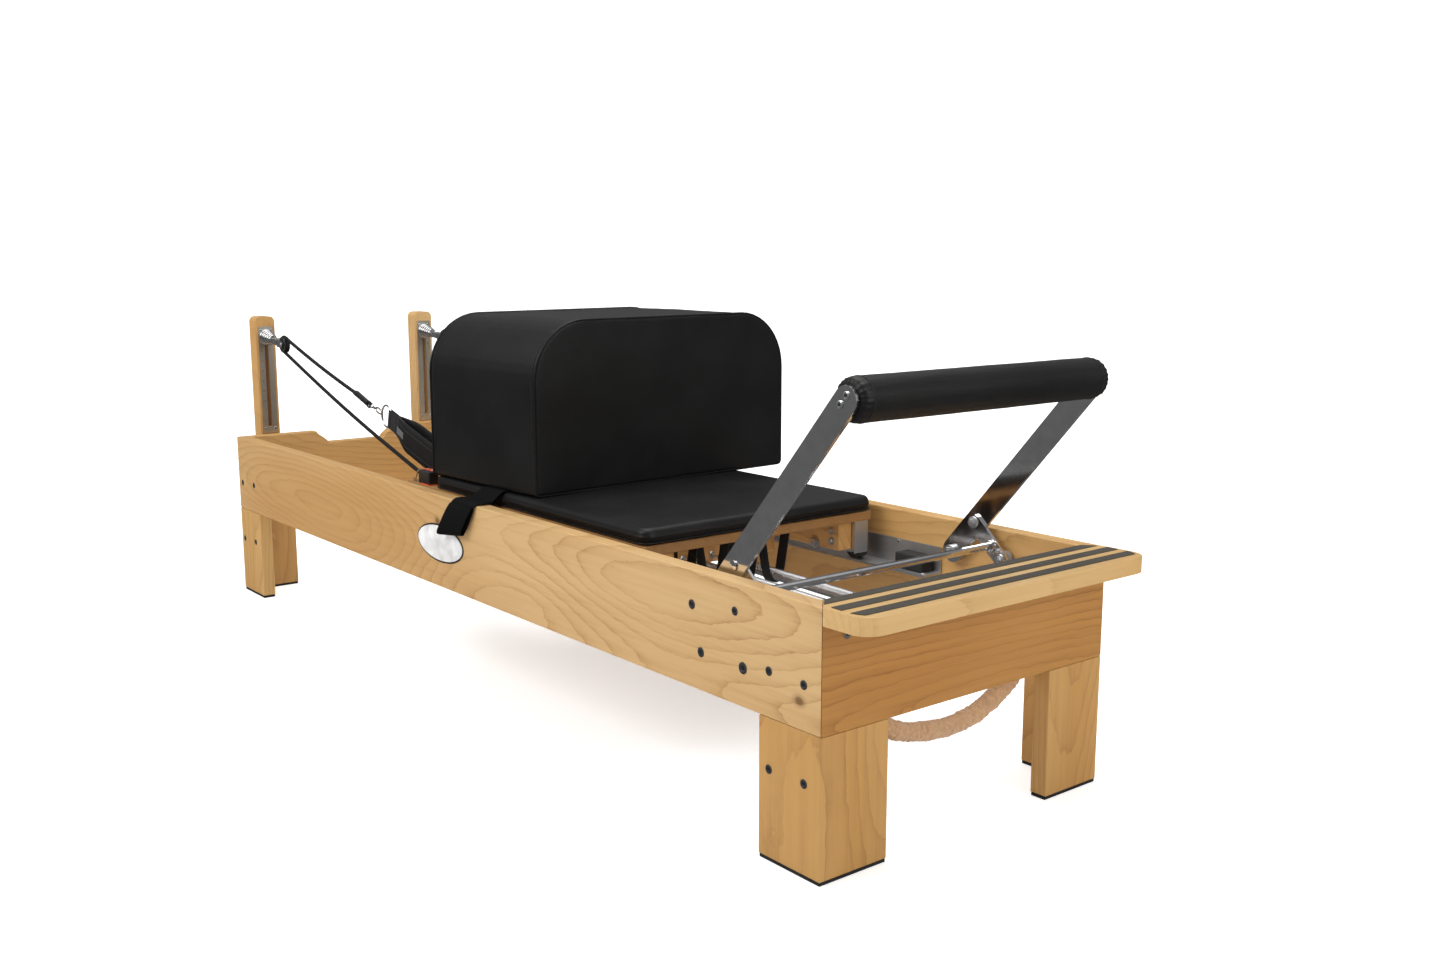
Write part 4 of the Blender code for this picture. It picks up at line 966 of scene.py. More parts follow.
for s, sn in ((-1, "left"), (1, "right")):
    y = s * 0.2345
    j, k_ = Vector((0, 1, 0)), None
    s0, s1 = P(UP_END[0], y, UP_END[2]), P(SLEEVE_END[0], y, SLEEVE_END[2])
    d = (s1 - s0).normalized()
    up = Vector((0, 1, 0)).cross(d)
    up = up if up.z > 0 else -up
    # doubled rope under a shrunk sleeve, ending in an eye
    rows, n_ = [], 20
    prof = [(-0.004, 0.0046, 0.0050), (0.0, 0.0050, 0.0062), (0.005, 0.0054, 0.0074), (0.012, 0.0056, 0.0079),
            (0.030, 0.0056, 0.0079), (0.050, 0.0056, 0.0078), (0.062, 0.0055, 0.0078), (0.0690, 0.0052, 0.0076),
            (0.0720, 0.0046, 0.0066)]
    vs, fs = [], []
    for h_, ry, rz in prof:
        lift = 0.0026 * min(1.0, max(0.0, (h_ + 0.004) / 0.016))
        for q in range(n_):
            a = 2 * math.pi * q / n_
            vs.append(s0 + d * h_ + j * (ry * math.cos(a)) + up * (rz * math.sin(a) + lift - 0.0010))
    for i in range(len(prof) - 1):
        for q in range(n_):
            l = (q + 1) % n_
            fs.append((i * n_ + q, i * n_ + l, (i + 1) * n_ + l, (i + 1) * n_ + q))
    fs.append(tuple(range(n_))[::-1])
    fs.append(tuple((len(prof) - 1) * n_ + q for q in range(n_)))
    make("rope_sleeve_" + sn, vs, fs, M_SLEEVE, "carriage", 50)
    ec = s0 + d * 0.0790 + up * 0.0014
    tube("rope_end_eye_" + sn, ring_points(ec, d, up, 0.0092, 30, 0.62), 0.0036, M_ROPE, "carriage", 12, closed=True)
    # snap hook from the eye to the ring
    he = P(HOOK_END[0], y, HOOK_END[2])
    hd = (he - ec).normalized()
    hu = Vector((0, 1, 0)).cross(hd)
    hu = hu if hu.z > 0 else -hu
    tube("hook_eye_" + sn, ring_points(ec + hd * 0.0090, hd, (hu + j * 0.9).normalized(), 0.0068, 24), 0.0015,
         M_CHROME, "carriage", 10, closed=True)
    lathe("hook_swivel_" + sn, [(0, 0), (0.0030, 0), (0.0042, 0.0012), (0.0042, 0.0050), (0.0030, 0.0066),
                                (0.0026, 0.0180), (0.0034, 0.0200), (0.0034, 0.0226), (0, 0.0236)],
          ec + hd * 0.0150, hd, M_CHROME, "carriage", 20)
    hc = ec + hd * 0.0540
    tube("snap_hook_" + sn, ring_points(hc, hd, hu, 0.0172, 30, 0.34), 0.0020, M_CHROME, "carriage", 10, closed=True)
    tube("snap_gate_" + sn, [hc - hd * 0.012 + hu * 0.0058, hc + hu * 0.0072, hc + hd * 0.010 + hu * 0.0050], 0.0014,
         M_ZINC, "carriage", 10)
    # ring, neck of webbing, padded loop
    ring = [strap_point(-0.0156 + 0.0254 * math.cos(2 * math.pi * i / 56), y, 0.0254 * math.sin(2 * math.pi * i / 56))
            for i in range(56)]
    tube("strap_ring_" + sn, ring, 0.0023, M_CHROME, "carriage", 12, closed=True)
    ne = [(0.056, 0.2318), (0.030, 0.2314), (0.006, 0.2313), (-0.0005, 0.2316), (-0.0036, 0.2330), (-0.0046, 0.2345),
          (-0.0036, 0.2360), (-0.0005, 0.2374), (0.006, 0.2377), (0.030, 0.2378), (0.058, 0.2384)]
    ne = [(v.x, v.y) for v in smooth([(a_, b_, 0) for a_, b_ in ne], 4)]
    between("hand_loop_neck_" + sn, [strap_point(a_, s * b_, strap_edge(a_, False)) for a_, b_ in ne],
            [strap_point(a_, s * b_, strap_edge(a_, True)) for a_, b_ in ne], 0.0019, M_WEB, "carriage")
    lp = [(v.x, v.y) for v in smooth([(a_, b_, 0) for a_, b_ in LOOP], 6, closed=True)]
    lo_e = [strap_point(a_, s * b_, strap_edge(a_, False)) for a_, b_ in lp]
    hi_e = [strap_point(a_, s * b_, strap_edge(a_, True)) for a_, b_ in lp]
    ths = [0.0024 + 0.0054 * min(1.0, max(0.0, (a_ - 0.052) / 0.035)) for a_, b_ in lp]
    o = between("hand_loop_pad_" + sn, lo_e, hi_e, ths, M_PADWEB, "carriage", True, True, 16)
    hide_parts("hand_strap_" + sn)
    # lengthwise seams on both faces of the loop and its bound edges
    mid_ = sum((a_ + b_ for a_, b_ in zip(lo_e, hi_e)), Vector()) / (2 * len(lo_e))
    for kk, f in enumerate((0.02, 0.22, 0.78, 0.98)):
        line = []
        for i in range(len(lp)):
            a_, b_ = lo_e[i], hi_e[i]
            t_ = (lo_e[(i + 1) % len(lp)] - lo_e[i - 1]).normalized()
            w_ = (b_ - a_).normalized()
            nn = t_.cross(w_).normalized()
            cen_ = a_ + (b_ - a_) * f
            if nn.dot(cen_ - mid_) < 0:
                nn = -nn
            e_ = abs(2 * f - 1)
            half_ = ths[i] / 2 * (math.sqrt(max(0.0, 1 - e_ ** 5)) * 0.82 + 0.18)
            line.append(cen_ + nn * (half_ if 0.1 < f < 0.9 else 0.0))
        tube("hand_loop_seam_%d_%s" % (kk, sn), line, 0.0007 if 0.1 < f < 0.9 else 0.0014, M_THREAD, "carriage", 6,
             closed=True)
    # blank woven label on the outer face
    yl = lambda a_: 0.2385 + 0.0058 * min(1.0, max(0.0, (a_ - 0.050) / 0.040))
    lr = [0.0515 + 0.0043 * i for i in range(11)]
    between("hand_loop_label_" + sn, [strap_point(a_, s * (yl(a_) + 0.0016), -0.0158) for a_ in lr],
            [strap_point(a_, s * (yl(a_) + 0.0016), 0.0004) for a_ in lr], 0.0007, M_LABEL, "carriage")
    # rows of stitches across the neck
    for kk, a_ in enumerate((0.0090, 0.0125, 0.0400, 0.0435)):
        tube("neck_stitch_%d_%s" % (kk, sn), [strap_point(a_, s * 0.2390, -0.0200 + 0.0400 * i / 8) for i in range(9)],
             0.0005, M_THREAD, "carriage", 6)
    # clamp: orange liner, screws and the bent keeper wire at the rope's end
    y0, y1 = sorted((s * (CLAMP_Y - 0.0124), s * (CLAMP_Y + 0.0004)))
    block("clamp_liner_top_" + sn, CLAMP_X0 + 0.0025, CLAMP_X1 - 0.0060, y0, y1, BTOP + 0.0300, BTOP + 0.0314, M_ORANGE,
          "carriage", 0.0004, 2)
    y0, y1 = sorted((s * (CLAMP_Y - 0.0060), s * (CLAMP_Y + 0.0133)))
    block("clamp_liner_low_" + sn, CLAMP_X0 + 0.0120, CLAMP_X1 + 0.0006, y0, y1, BTOP + 0.0001, BTOP + 0.0022, M_ORANGE,
          "carriage", 0.0004, 2)
    bolt("clamp_screw_a_" + sn, P(CLAMP_X0 + 0.014, s * (CLAMP_Y - 0.005), BTOP + 0.0313), (0, 0, 1), 0.0040, M_ZINC,
         "carriage", 0.0014)
    bolt("clamp_screw_b_" + sn, P(CLAMP_X1 - 0.018, s * (CLAMP_Y - 0.005), BTOP + 0.0313), (0, 0, 1), 0.0040, M_ZINC,
         "carriage", 0.0014)
    wire = smooth([P(CLAMP_X0 + 0.0060, s * (CLAMP_Y + 0.0080), BTOP + 0.0296), P(CLAMP_X0 - 0.0020, s * (CLAMP_Y + 0.0085), BTOP + 0.0300),
                   P(CLAMP_X0 - 0.0110, s * (CLAMP_Y + 0.0085), BTOP + 0.0230), P(CLAMP_X0 - 0.0180, s * (CLAMP_Y + 0.0080), BTOP + 0.0120),
                   P(CLAMP_X0 - 0.0260, s * (CLAMP_Y + 0.0070), BTOP + 0.0050), P(CLAMP_X0 - 0.0420, s * (CLAMP_Y + 0.0040), BTOP + 0.0036)], 6)
    tube("clamp_wire_" + sn, wire, 0.0017, M_CHROME, "carriage", 10)

# ----------------------------------------------------------------------------
# pulleys
# ----------------------------------------------------------------------------
ROT = Matrix.Rotation(TILT, 4, "Y").to_3x3()


def along(base, dx, dy=0.0, dz=0.0):
    return base + ROT @ Vector((dx, dy, dz))


for s, sn in ((-1, "left"), (1, "right")):
    yc = s * 0.2355
    base = P(-L2, yc, 0.690)
    ax = ROT @ Vector((1, 0, 0))
    # washer stack, bolt, conical spring
    core = lathe("pulley_bolt_" + sn,
                 [(0, -0.0440), (0.0040, -0.0440), (0.0040, 0.0024), (0.0208, 0.0024), (0.0208, 0.0040),
                  (0.0200, 0.0046), (0.0080, 0.0054), (0.0080, 0.0100), (0.0048, 0.0104),
                  (0.0048, 0.0620), (0.0068, 0.0624), (0.0072, 0.0640), (0.0072, 0.0700),
                  (0.0060, 0.0712), (0, 0.0714)], base, ax, M_ZINC, "frame", 36)
    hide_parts("pulley_mount_" + sn)
    hel = []
    turns, per = 6.0, 24
    for i in range(int(turns * per) + 1):
        t = i / (turns * per)
        a = 2 * math.pi * i / per
        rr = 0.0188 - 0.0092 * t ** 1.2
        hel.append(along(base, 0.0070 + 0.0500 * t, rr * math.cos(a), rr * math.sin(a)))
    tube("pulley_cone_spring_" + sn, hel, 0.0023, M_CHROME, "frame", 10)
    # fork with two rounded cheeks
    fx = REACH
    def bar(name, x0, x1, y0, y1, h, mat):
        n_ = 10
        pts = []
        for i in range(n_ + 1):
            a = -math.pi / 2 + math.pi * i / n_
            pts.append((x1 - h + h * math.cos(a), h * math.sin(a)))
        pts += [(x0, h), (x0, -h)]
        vs = [along(base, px, y0, pz) for px, pz in pts] + [along(base, px, y1, pz) for px, pz in pts]
        k = len(pts)
        fs = [tuple(range(k)), tuple(range(k, 2 * k))]
        fs += [(i, (i + 1) % k, k + (i + 1) % k, k + i) for i in range(k)]
        return make(name, vs, fs, mat, "frame", 30)
    bar("pulley_fork_back_" + sn, fx - 0.0620, fx - 0.0265, -0.0104, 0.0104, 0.0072, M_CHROME)
    for k, cs in (("a", -1), ("b", 1)):
        ya, yb = sorted((cs * 0.0080, cs * 0.0104))
        bar("pulley_fork_cheek_%s_%s" % (k, sn), fx - 0.0300, fx + 0.0080, ya, yb, 0.0098, M_CHROME)
        lathe("pulley_axle_end_%s_%s" % (k, sn), [(0, 0), (0.0045, 0), (0.0045, 0.0010), (0.0036, 0.0018), (0, 0.0020)],
              along(base, fx, cs * 0.0104, 0), (0, cs, 0), M_ZINC, "frame", 24)
    half = 0.0069
    wh = lathe("pulley_sheave_" + sn,
               [(0.0034, half - 0.0006), (0.0062, half), (0.0066, half - 0.0012), (0.0128, half - 0.0016),
                (0.0150, half - 0.0002), (0.0205, half), (0.0213, half - 0.0006), (0.0213, half - 0.0014),
                (0.0176, 0.0046), (0.0158, 0.0032), (0.0150, 0.0012), (0.0150, -0.0012), (0.0158, -0.0032),
                (0.0176, -0.0046), (0.0213, -half + 0.0014), (0.0213, -half + 0.0006), (0.0205, -half),
                (0.0150, -half + 0.0002), (0.0128, -half + 0.0016), (0.0066, -half + 0.0012),
                (0.0062, -half), (0.0034, -half + 0.0006), (0.0034, half - 0.0006)],
               along(base, fx), (0, 1, 0), M_NYLON, "pulley_wheel_" + sn, 48)
    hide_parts("pulley_wheel_" + sn)
    # clamp knob with lobes
    kz = 0.690 + 0.0500 * math.sin(TILT)
    def lobes(r, h, a):
        return (r * (1 + 0.07 * math.cos(7 * a)) if r > 0.012 else r, h)
    kn = lathe("clamp_knob_" + sn,
               [(0, 0.0002), (0.0088, 0.0002), (0.0090, 0.0055), (0.0150, 0.0075), (0.0162, 0.0100),
                (0.0163, 0.0190), (0.0150, 0.0232), (0.0080, 0.0250), (0, 0.0252)],
               P(-L2 - 0.0003 - 0.045 - 0.0003, yc, kz), (-1, 0, 0), M_NYLON, "riser_knob_" + sn, 56, lobes)
    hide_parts("riser_knob_" + sn)
    # slotted steel face plate with its screws and stop holes
    n_ = 8
    slot = [(yc + 0.0052 * math.cos(rad(180 * i / n_)), 0.6990 + 0.0052 * math.sin(rad(180 * i / n_)))
            for i in range(n_ + 1)]
    slot += [(yc + 0.0052 * math.cos(rad(180 + 180 * i / n_)), 0.4480 + 0.0052 * math.sin(rad(180 + 180 * i / n_)))
             for i in range(n_ + 1)]
    outl = round_rect(0.0200, RAIL_TOP + 0.003, 0.7180, (0.003, 0.003, 0.004, 0.004), 5)
    outl = [(yc + a_, b_) for a_, b_ in outl]
    holes = []
    for i in range(9):
        holes.append(circle(yc + s * 0.0125, 0.4620 + 0.0270 * i, 0.0026, 12))
    flat("riser_plate_" + sn, [outl, slot] + holes, "yz", -L2 + 0.0001, -L2 + 0.0021, M_PLATE, "frame", 0.0003, 1)
    for k, (dy, z) in enumerate(((-0.0135, 0.7070), (0.0135, 0.7070), (-0.0135, 0.4390), (0.0135, 0.4390))):
        bolt("riser_screw_%d_%s" % (k, sn), P(-L2 + 0.0021, yc + dy, z), (1, 0, 0), 0.0040, M_ZINC, "frame", 0.0014)
    for k, z in enumerate((0.268, 0.392)):
        bolt("riser_bolt_%d_%s" % (k, sn), P(-L2 - 0.0453, yc, z), (-1, 0, 0), 0.0085, M_DARKSTEEL, "frame", 0.0026)

# ----------------------------------------------------------------------------
# frame details
# ----------------------------------------------------------------------------
# grip strips on the platform
def strip(name, x0, x1, ya0, ya1, tail=None):
    pts = [(x0, -ya0)] + ([(x0 + (x1 - x0) * t, -(ya0 + (ya1 - ya0) * f)) for t, f in (tail or [])]) + [(x1, -ya1)]
    pts += [(p[0], -p[1]) for p in reversed(pts)]
    flat(name, [pts], "xy", RAIL_TOP + 0.00005, RAIL_TOP + 0.0012, M_GRIP, "frame", 0.0004, 2)


strip("grip_strip_rear", 1.1365, 1.1575, 0.2985, 0.3185)
strip("grip_strip_middle", 1.1755, 1.1975, 0.3215, 0.3225)
strip("grip_strip_front", 1.2155, 1.2375, 0.3225, 0.3135, [(0.3, 0.10), (0.6, 0.38), (0.85, 0.72)])

# fasteners on the outer faces
for s, sn in ((-1, "left"), (1, "right")):
    yo = s * (W2 - 0.0002)
    big = [(0.862, 0.367, 0.0080), (0.970, 0.378, 0.0070), (0.885, 0.293, 0.0080), (0.990, 0.292, 0.0095),
           (1.051, 0.302, 0.0072), (1.129, 0.300, 0.0072), (1.052, 0.148, 0.0072), (1.131, 0.149, 0.0072),
           (-1.139, 0.301, 0.0072), (-1.057, 0.303, 0.0072), (-1.145, 0.146, 0.0072), (-1.066, 0.148, 0.0072)]
    for i, (x, z, r) in enumerate(big):
        bolt("rail_bolt_%d_%s" % (i, sn), P(x, yo, z), (0, s, 0), r, M_DARKSTEEL, "frame", 0.0013)
    # screws along the track, a bolt at the flange's end
    yi = s * (IN - 0.0003 - 0.0035)
    for i in range(9):
        x = -0.900 + 0.2014 * i
        bolt("track_screw_%d_%s" % (i, sn), P(x, yi, 0.3610), (0, -s, 0), 0.0042, M_ZINC, "frame", 0.0012)
    bolt("track_end_screw_" + sn, P(0.809, s * 0.262, 0.3190), (0, 0, 1), 0.0045, M_ZINC, "frame", 0.0016)
    # rubber stop at the head end of the track
    ya, yb = sorted((s * (IN - 0.0045), s * 0.262))
    block("head_stop_" + sn, -0.865, -0.820, ya, yb, 0.3193, 0.3450, M_RUBBER, "frame", 0.003)
    # a screw holds each corner under the platform
    bolt("platform_bolt_" + sn, P(L2 + 0.0001, s * 0.2815, 0.3765), (1, 0, 0), 0.0070, M_ZINC, "frame", 0.0020)

# the small screws in the foot end legs' faces
for s, sn in ((-1, "left"), (1, "right")):
    for k, z in enumerate((0.196, 0.060)):
        bolt("leg_plug_%d_%s" % (k, sn), P(L2 - 0.0002, s * 0.2250, z), (1, 0, 0), 0.0030, M_LEG[0], "frame", 0.0005, False)

# blank oval plaque on the left rail
for s, sn in ((-1, "left"),):
    ov = lambda a_, b_: [(0.004 + a_ * math.cos(2 * math.pi * i / 72), 0.3235 + b_ * math.sin(2 * math.pi * i / 72))
                         for i in range(72)]
    y0, y1 = sorted((s * (W2 + 0.0001), s * (W2 + 0.0013)))
    flat("plaque_rim_" + sn, [ov(0.100, 0.040)], "xz", y0, y1, M_PLAQUE_RIM, "frame", 0.0004, 2)
    y0, y1 = sorted((s * (W2 + 0.0012), s * (W2 + 0.0019)))
    flat("plaque_face_" + sn, [ov(0.0965, 0.0365)], "xz", y0, y1, M_PLAQUE, "frame", 0.0003, 2)

# fleece foot strap on its webbing ends
keys = [(1.1225, -0.188, 0.2850), (1.1225, -0.187, 0.2500), (1.1160, -0.180, 0.2200),
        (1.112, -0.160, 0.2010), (1.112, -0.128, 0.1830), (1.112, -0.085, 0.1690),
        (1.112, -0.030, 0.1600), (1.112, 0.025, 0.1600), (1.112, 0.078, 0.1700),
        (1.112, 0.118, 0.1860), (1.112, 0.142, 0.2010), (1.1160, 0.158, 0.2200),
        (1.1225, 0.164, 0.2500), (1.1225, 0.165, 0.2850)]
fl_path = smooth([P(*k) for k in keys[2:12]], 34)
fl = tube("fleece_foot_strap", fl_path, [0.0110] + [0.0152] * (len(fl_path) - 2) + [0.0110], M_FLEECE, None, 56, False, 80)
ns = [v.normal.copy() for v in fl.data.vertices]
for v, nn in zip(fl.data.vertices, ns):
    q = v.co * 150.0
    a = noise.noise(q) * 0.9 + noise.noise(q * 2.3) * 0.6
    lump = noise.noise(v.co * 34.0)
    v.co = v.co + nn * (0.0022 * a + 0.0020 * lump)
fl.data.update()
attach(fl, "frame")
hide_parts("foot_strap")
for k, sl in (("a", keys[0:4]), ("b", keys[10:14])):
    pth = smooth([P(*q) for q in sl], 8)
    band("foot_strap_webbing_" + k, pth, (0, 0.999, 0.04), 0.030, 0.0022, M_WEB, "frame")
    z_end = [q for q in sl if q[2] > 0.28][0]
    bolt("foot_strap_screw_" + k, P(z_end[0] - 0.0012, z_end[1], 0.270), (-1, 0, 0), 0.0060, M_ZINC, "frame", 0.0020)

# spring bar: six collars along it, each beside a hook's place
for i, sy in enumerate((-0.183, -0.110, -0.037, 0.036, 0.110, 0.183)):
    lathe("bar_collar_%d" % i, [(0.0112, -0.004), (0.0138, -0.004), (0.0142, -0.003), (0.0142, 0.003),
                                (0.0138, 0.004), (0.0112, 0.004), (0.0112, -0.004)],
          P(1.075, sy + 0.0230, 0.3130), (0, 1, 0), M_ZINC, "frame", 32)

# ----------------------------------------------------------------------------
# carriage
# ----------------------------------------------------------------------------
# springs: close coils with drawn-out hooks
SY = (-0.183, -0.110, -0.037, 0.036)
X0, X1, Z0, Z1 = 0.452, 1.063, 0.3255, 0.3130
for i, sy in enumerate(SY):
    a, b = P(X0 + 0.018, sy, Z0), P(X1 - 0.030, sy, Z1)
    t = (b - a).normalized()
    u = Vector((0, 1, 0))
    w = t.cross(u).normalized()
    R, wire = 0.0102, 0.0015
    turns = 118
    per = 12
    pts = [P(X0 + 0.0005, sy, Z0), P(X0 + 0.010, sy, Z0)]
    n_ = turns * per
    for k in range(n_ + 1):
        f = k / n_
        ang = 2 * math.pi * k / per
        rr = R * min(1.0, 0.25 + 6.0 * min(f, 1 - f) * turns / 30.0)
        pts.append(a + (b - a) * f + (u * math.cos(ang) + w * math.sin(ang)) * rr)
    # hook reaching over the spring bar
    e = P(X1 - 0.024, sy, Z1)
    pts += [e]
    for k in range(9):
        an = rad(180 - 230 * k / 8)
        pts.append(P(1.075 + 0.0132 * math.cos(an), sy, 0.3130 + 0.0132 * math.sin(an)))
    sp = tube("coil_spring_%d" % (i + 1), pts, wire, M_SPRING, None, 6, False, 80)
    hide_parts("carriage_spring_%d" % (i + 1))
    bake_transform(sp)
    lathe("spring_eye_bolt_%d" % (i + 1), [(0, -0.002), (0.0085, -0.002), (0.0085, 0.0002), (0.0050, 0.0010),
                                           (0.0050, 0.0060), (0, 0.0066)], P(X0 - 0.0005, sy, Z0), (1, 0, 0), M_ZINC,
          "carriage", 24)

# carriage pad
PX0, PX1, PHW = -0.120, 0.659, 0.2775
pcx = (PX0 + PX1) / 2
phx = (PX1 - PX0) / 2 - 0.0012
pz = BTOP + 0.0003


def pad_put(u, v, d):
    # u along x, v along y, depth upward
    return P(pcx + u, v, pz + 0.0153 + d)


pad = pillow("carriage_cushion", phx, -PHW + 0.0012, PHW - 0.0012, (0.020,) * 4, 0.0150, 0.0115, 0.0030, 0.0012,
             pad_put, M_PADV, "carriage", 360, 22, 0.0007, 3.0, 6, True)
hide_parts("carriage_pad")
ol = resample(round_rect(phx + 0.0006, -PHW + 0.0006, PHW - 0.0006, (0.020,) * 4), 260)
tube("carriage_cushion_seam", [P(pcx + u, v, pz + 0.0045) for u, v in ol], 0.0013, M_PIPE, "carriage", 8, closed=True)

# head rest: board, pad, hinges
block("headrest_board", -0.470, -0.2625, -0.097, 0.097, 0.4035, BTOP, M_PLY, "headrest", 0.0015)
hcx, hhx = -0.366, 0.1045


def head_put(u, v, d):
    return P(hcx + u, v, BTOP + 0.0150 + d)


hp = pillow("headrest_cushion", hhx, -0.0995, 0.0995, (0.022,) * 4, 0.0146, 0.0110, 0.0035, 0.0015, head_put,
            M_PADV, "headrest", 240, 14, 0.0006, 9.0, 6, True)
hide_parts("headrest")
for k, y in enumerate((-0.060, 0.060)):
    tube("headrest_hinge_%d" % k, [P(-0.2560, y - 0.022, 0.4020), P(-0.2560, y + 0.022, 0.4020)], 0.0028, M_ZINC,
         "carriage", 16)
    block("headrest_leaf_fixed_%d" % k, -0.2565, -0.2240, y - 0.021, y + 0.021, 0.3974, 0.3989, M_ZINC, "carriage",
          0.0004, 2)
    block("headrest_leaf_moving_%d" % k, -0.2900, -0.2590, y - 0.021, y + 0.021, 0.4019, 0.4034, M_ZINC, "headrest",
          0.0004, 2)

# shoulder rests
for s, sn in ((-1, "left"), (1, "right")):
    def sh_put(u, v, d, s=s):
        return P(-0.193 + d, s * 0.1525 + u, v)
    o = pillow("shoulder_cushion_" + sn, 0.0465, BTOP + 0.0010, 0.5355, (0.006, 0.006, 0.034, 0.034), 0.0265, 0.0150,
               0.0035, 0.0010, sh_put, M_PADV, "carriage", 200, 14, 0.0006, 12.0 + s, 6)
    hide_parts("shoulder_rest_" + sn)
    ol = resample(round_rect(0.0462, BTOP + 0.0015, 0.5350, (0.006, 0.006, 0.034, 0.034)), 160)
    for k, dx in (("a", 0.0200), ("b", -0.0200)):
        tube("shoulder_piping_%s_%s" % (k, sn), [P(-0.193 + dx, s * 0.1525 + u, v) for u, v in ol], 0.0015, M_PIPE,
             "carriage", 8, closed=True)

# carriage wheels, their brackets and the bolts on the runners
WZ = 0.314 + 0.005 + 0.0003 + 0.022
for s, sn in ((-1, "left"), (1, "right")):
    for wx, wn in ((0.628, "foot"), (-0.190, "head")):
        o = lathe("carriage_wheel_%s_%s" % (wn, sn),
                  [(0, 0.2400), (0.0068, 0.2400), (0.0070, 0.2532), (0.0110, 0.2532), (0.0118, 0.2545),
                   (0.0185, 0.2545), (0.0195, 0.2530), (0.0212, 0.2532), (0.0219, 0.2540), (0.0219, 0.2738),
                   (0.0212, 0.2747), (0.0192, 0.2748), (0.0184, 0.2735), (0.0112, 0.2735), (0.0104, 0.2750),
                   (0.0080, 0.2750), (0.0080, 0.2766), (0, 0.2768)],
                  P(wx, 0, WZ), (0, s, 0), M_NYLON, "wheel_%s_%s" % (wn, sn), 48)
        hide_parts("wheel_%s_%s" % (wn, sn))
        lathe("wheel_bearing_%s_%s" % (wn, sn), [(0.0030, 0.2752), (0.0086, 0.2752), (0.0088, 0.2738), (0.0030, 0.2738),
                                                 (0.0030, 0.2752)], P(wx, 0, WZ), (0, s, 0), M_ZINC,
              "wheel_%s_%s" % (wn, sn), 32)
        # bracket: a plate on the runner's outer face that ends above the wheel
        ya, yb = sorted((s * 0.2352, s * 0.2376))
        x_lo, x_hi = wx - 0.030, wx + 0.020
        outl = [(x_lo + 0.004, 0.3360), (x_hi - 0.006, 0.3360), (x_hi - 0.0015, 0.3378), (x_hi, 0.3420), (x_hi, 0.3980),
                (x_lo, 0.3980), (x_lo, 0.3400)]
        flat("wheel_bracket_%s_%s" % (wn, sn), [outl], "xz", ya, yb, M_ZINC, "carriage", 0.0005, 2)
        ya, yb = sorted((s * 0.2352, s * 0.2720))
        if wn == "foot":
            block("wheel_guard_" + sn, x_hi - 0.0001, x_hi + 0.0021, ya, yb, 0.3340, 0.3985, M_ALU, "carriage", 0.0008, 2)
        # nuts on the inner face
        yi = s * 0.1998
        hexnut("wheel_nut_%s_%s" % (wn, sn), P(wx - 0.054, yi, 0.3510), (0, -s, 0), 0.0085, 0.0085, M_ZINC, "carriage")
        for k, (dx, z) in enumerate(((-0.007, 0.380), (-0.006, 0.360))):
            hexnut("bracket_nut_%d_%s_%s" % (k, wn, sn), P(wx + dx, yi, z), (0, -s, 0), 0.0052, 0.0050, M_ZINC, "carriage")

# ----------------------------------------------------------------------------
# sitting box
# ----------------------------------------------------------------------------
BZ0 = BTOP + 0.031 + 0.0026
BZ1 = BZ0 + 0.340
YAW = rad(3.0)
bc = P(0.070, 0.055, 0)


def box_put(u, v, d):
    # u across (y), v up, d along x
    return Vector((bc.x + d * math.cos(YAW) - u * math.sin(YAW), bc.y + d * math.sin(YAW) + u * math.cos(YAW), v))


sb = pillow("sitting_box_shell", 0.3290, BZ0 + 0.0005, BZ1 - 0.0010, (0.007, 0.007, 0.120, 0.120), 0.1965, 0.0070,
            0.0035, 0.0018, box_put, M_VINYL, "sitting_box", 420, 24, 0.0010, 21.0, 22)
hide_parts("sitting_box")
for k, d in (("front", 0.1925), ("rear", -0.1925)):
    ol = resample(round_rect(0.3288, BZ0 + 0.0007, BZ1 - 0.0012, (0.007, 0.007, 0.120, 0.120)), 320)
    tube("sitting_box_piping_" + k, [box_put(u, v, d) for u, v in ol], 0.0027, M_PIPE, "sitting_box", 8, closed=True)
    d2 = 0.1840 if k == "front" else -0.1840
    ol2 = resample(round_rect(0.3291, BZ0 + 0.0004, BZ1 - 0.0008, (0.007, 0.007, 0.120, 0.120)), 320)
    tube("sitting_box_stitch_" + k, [box_put(u, v, d2) for u, v in ol2], 0.0006, M_THREAD, "sitting_box", 6, closed=True)

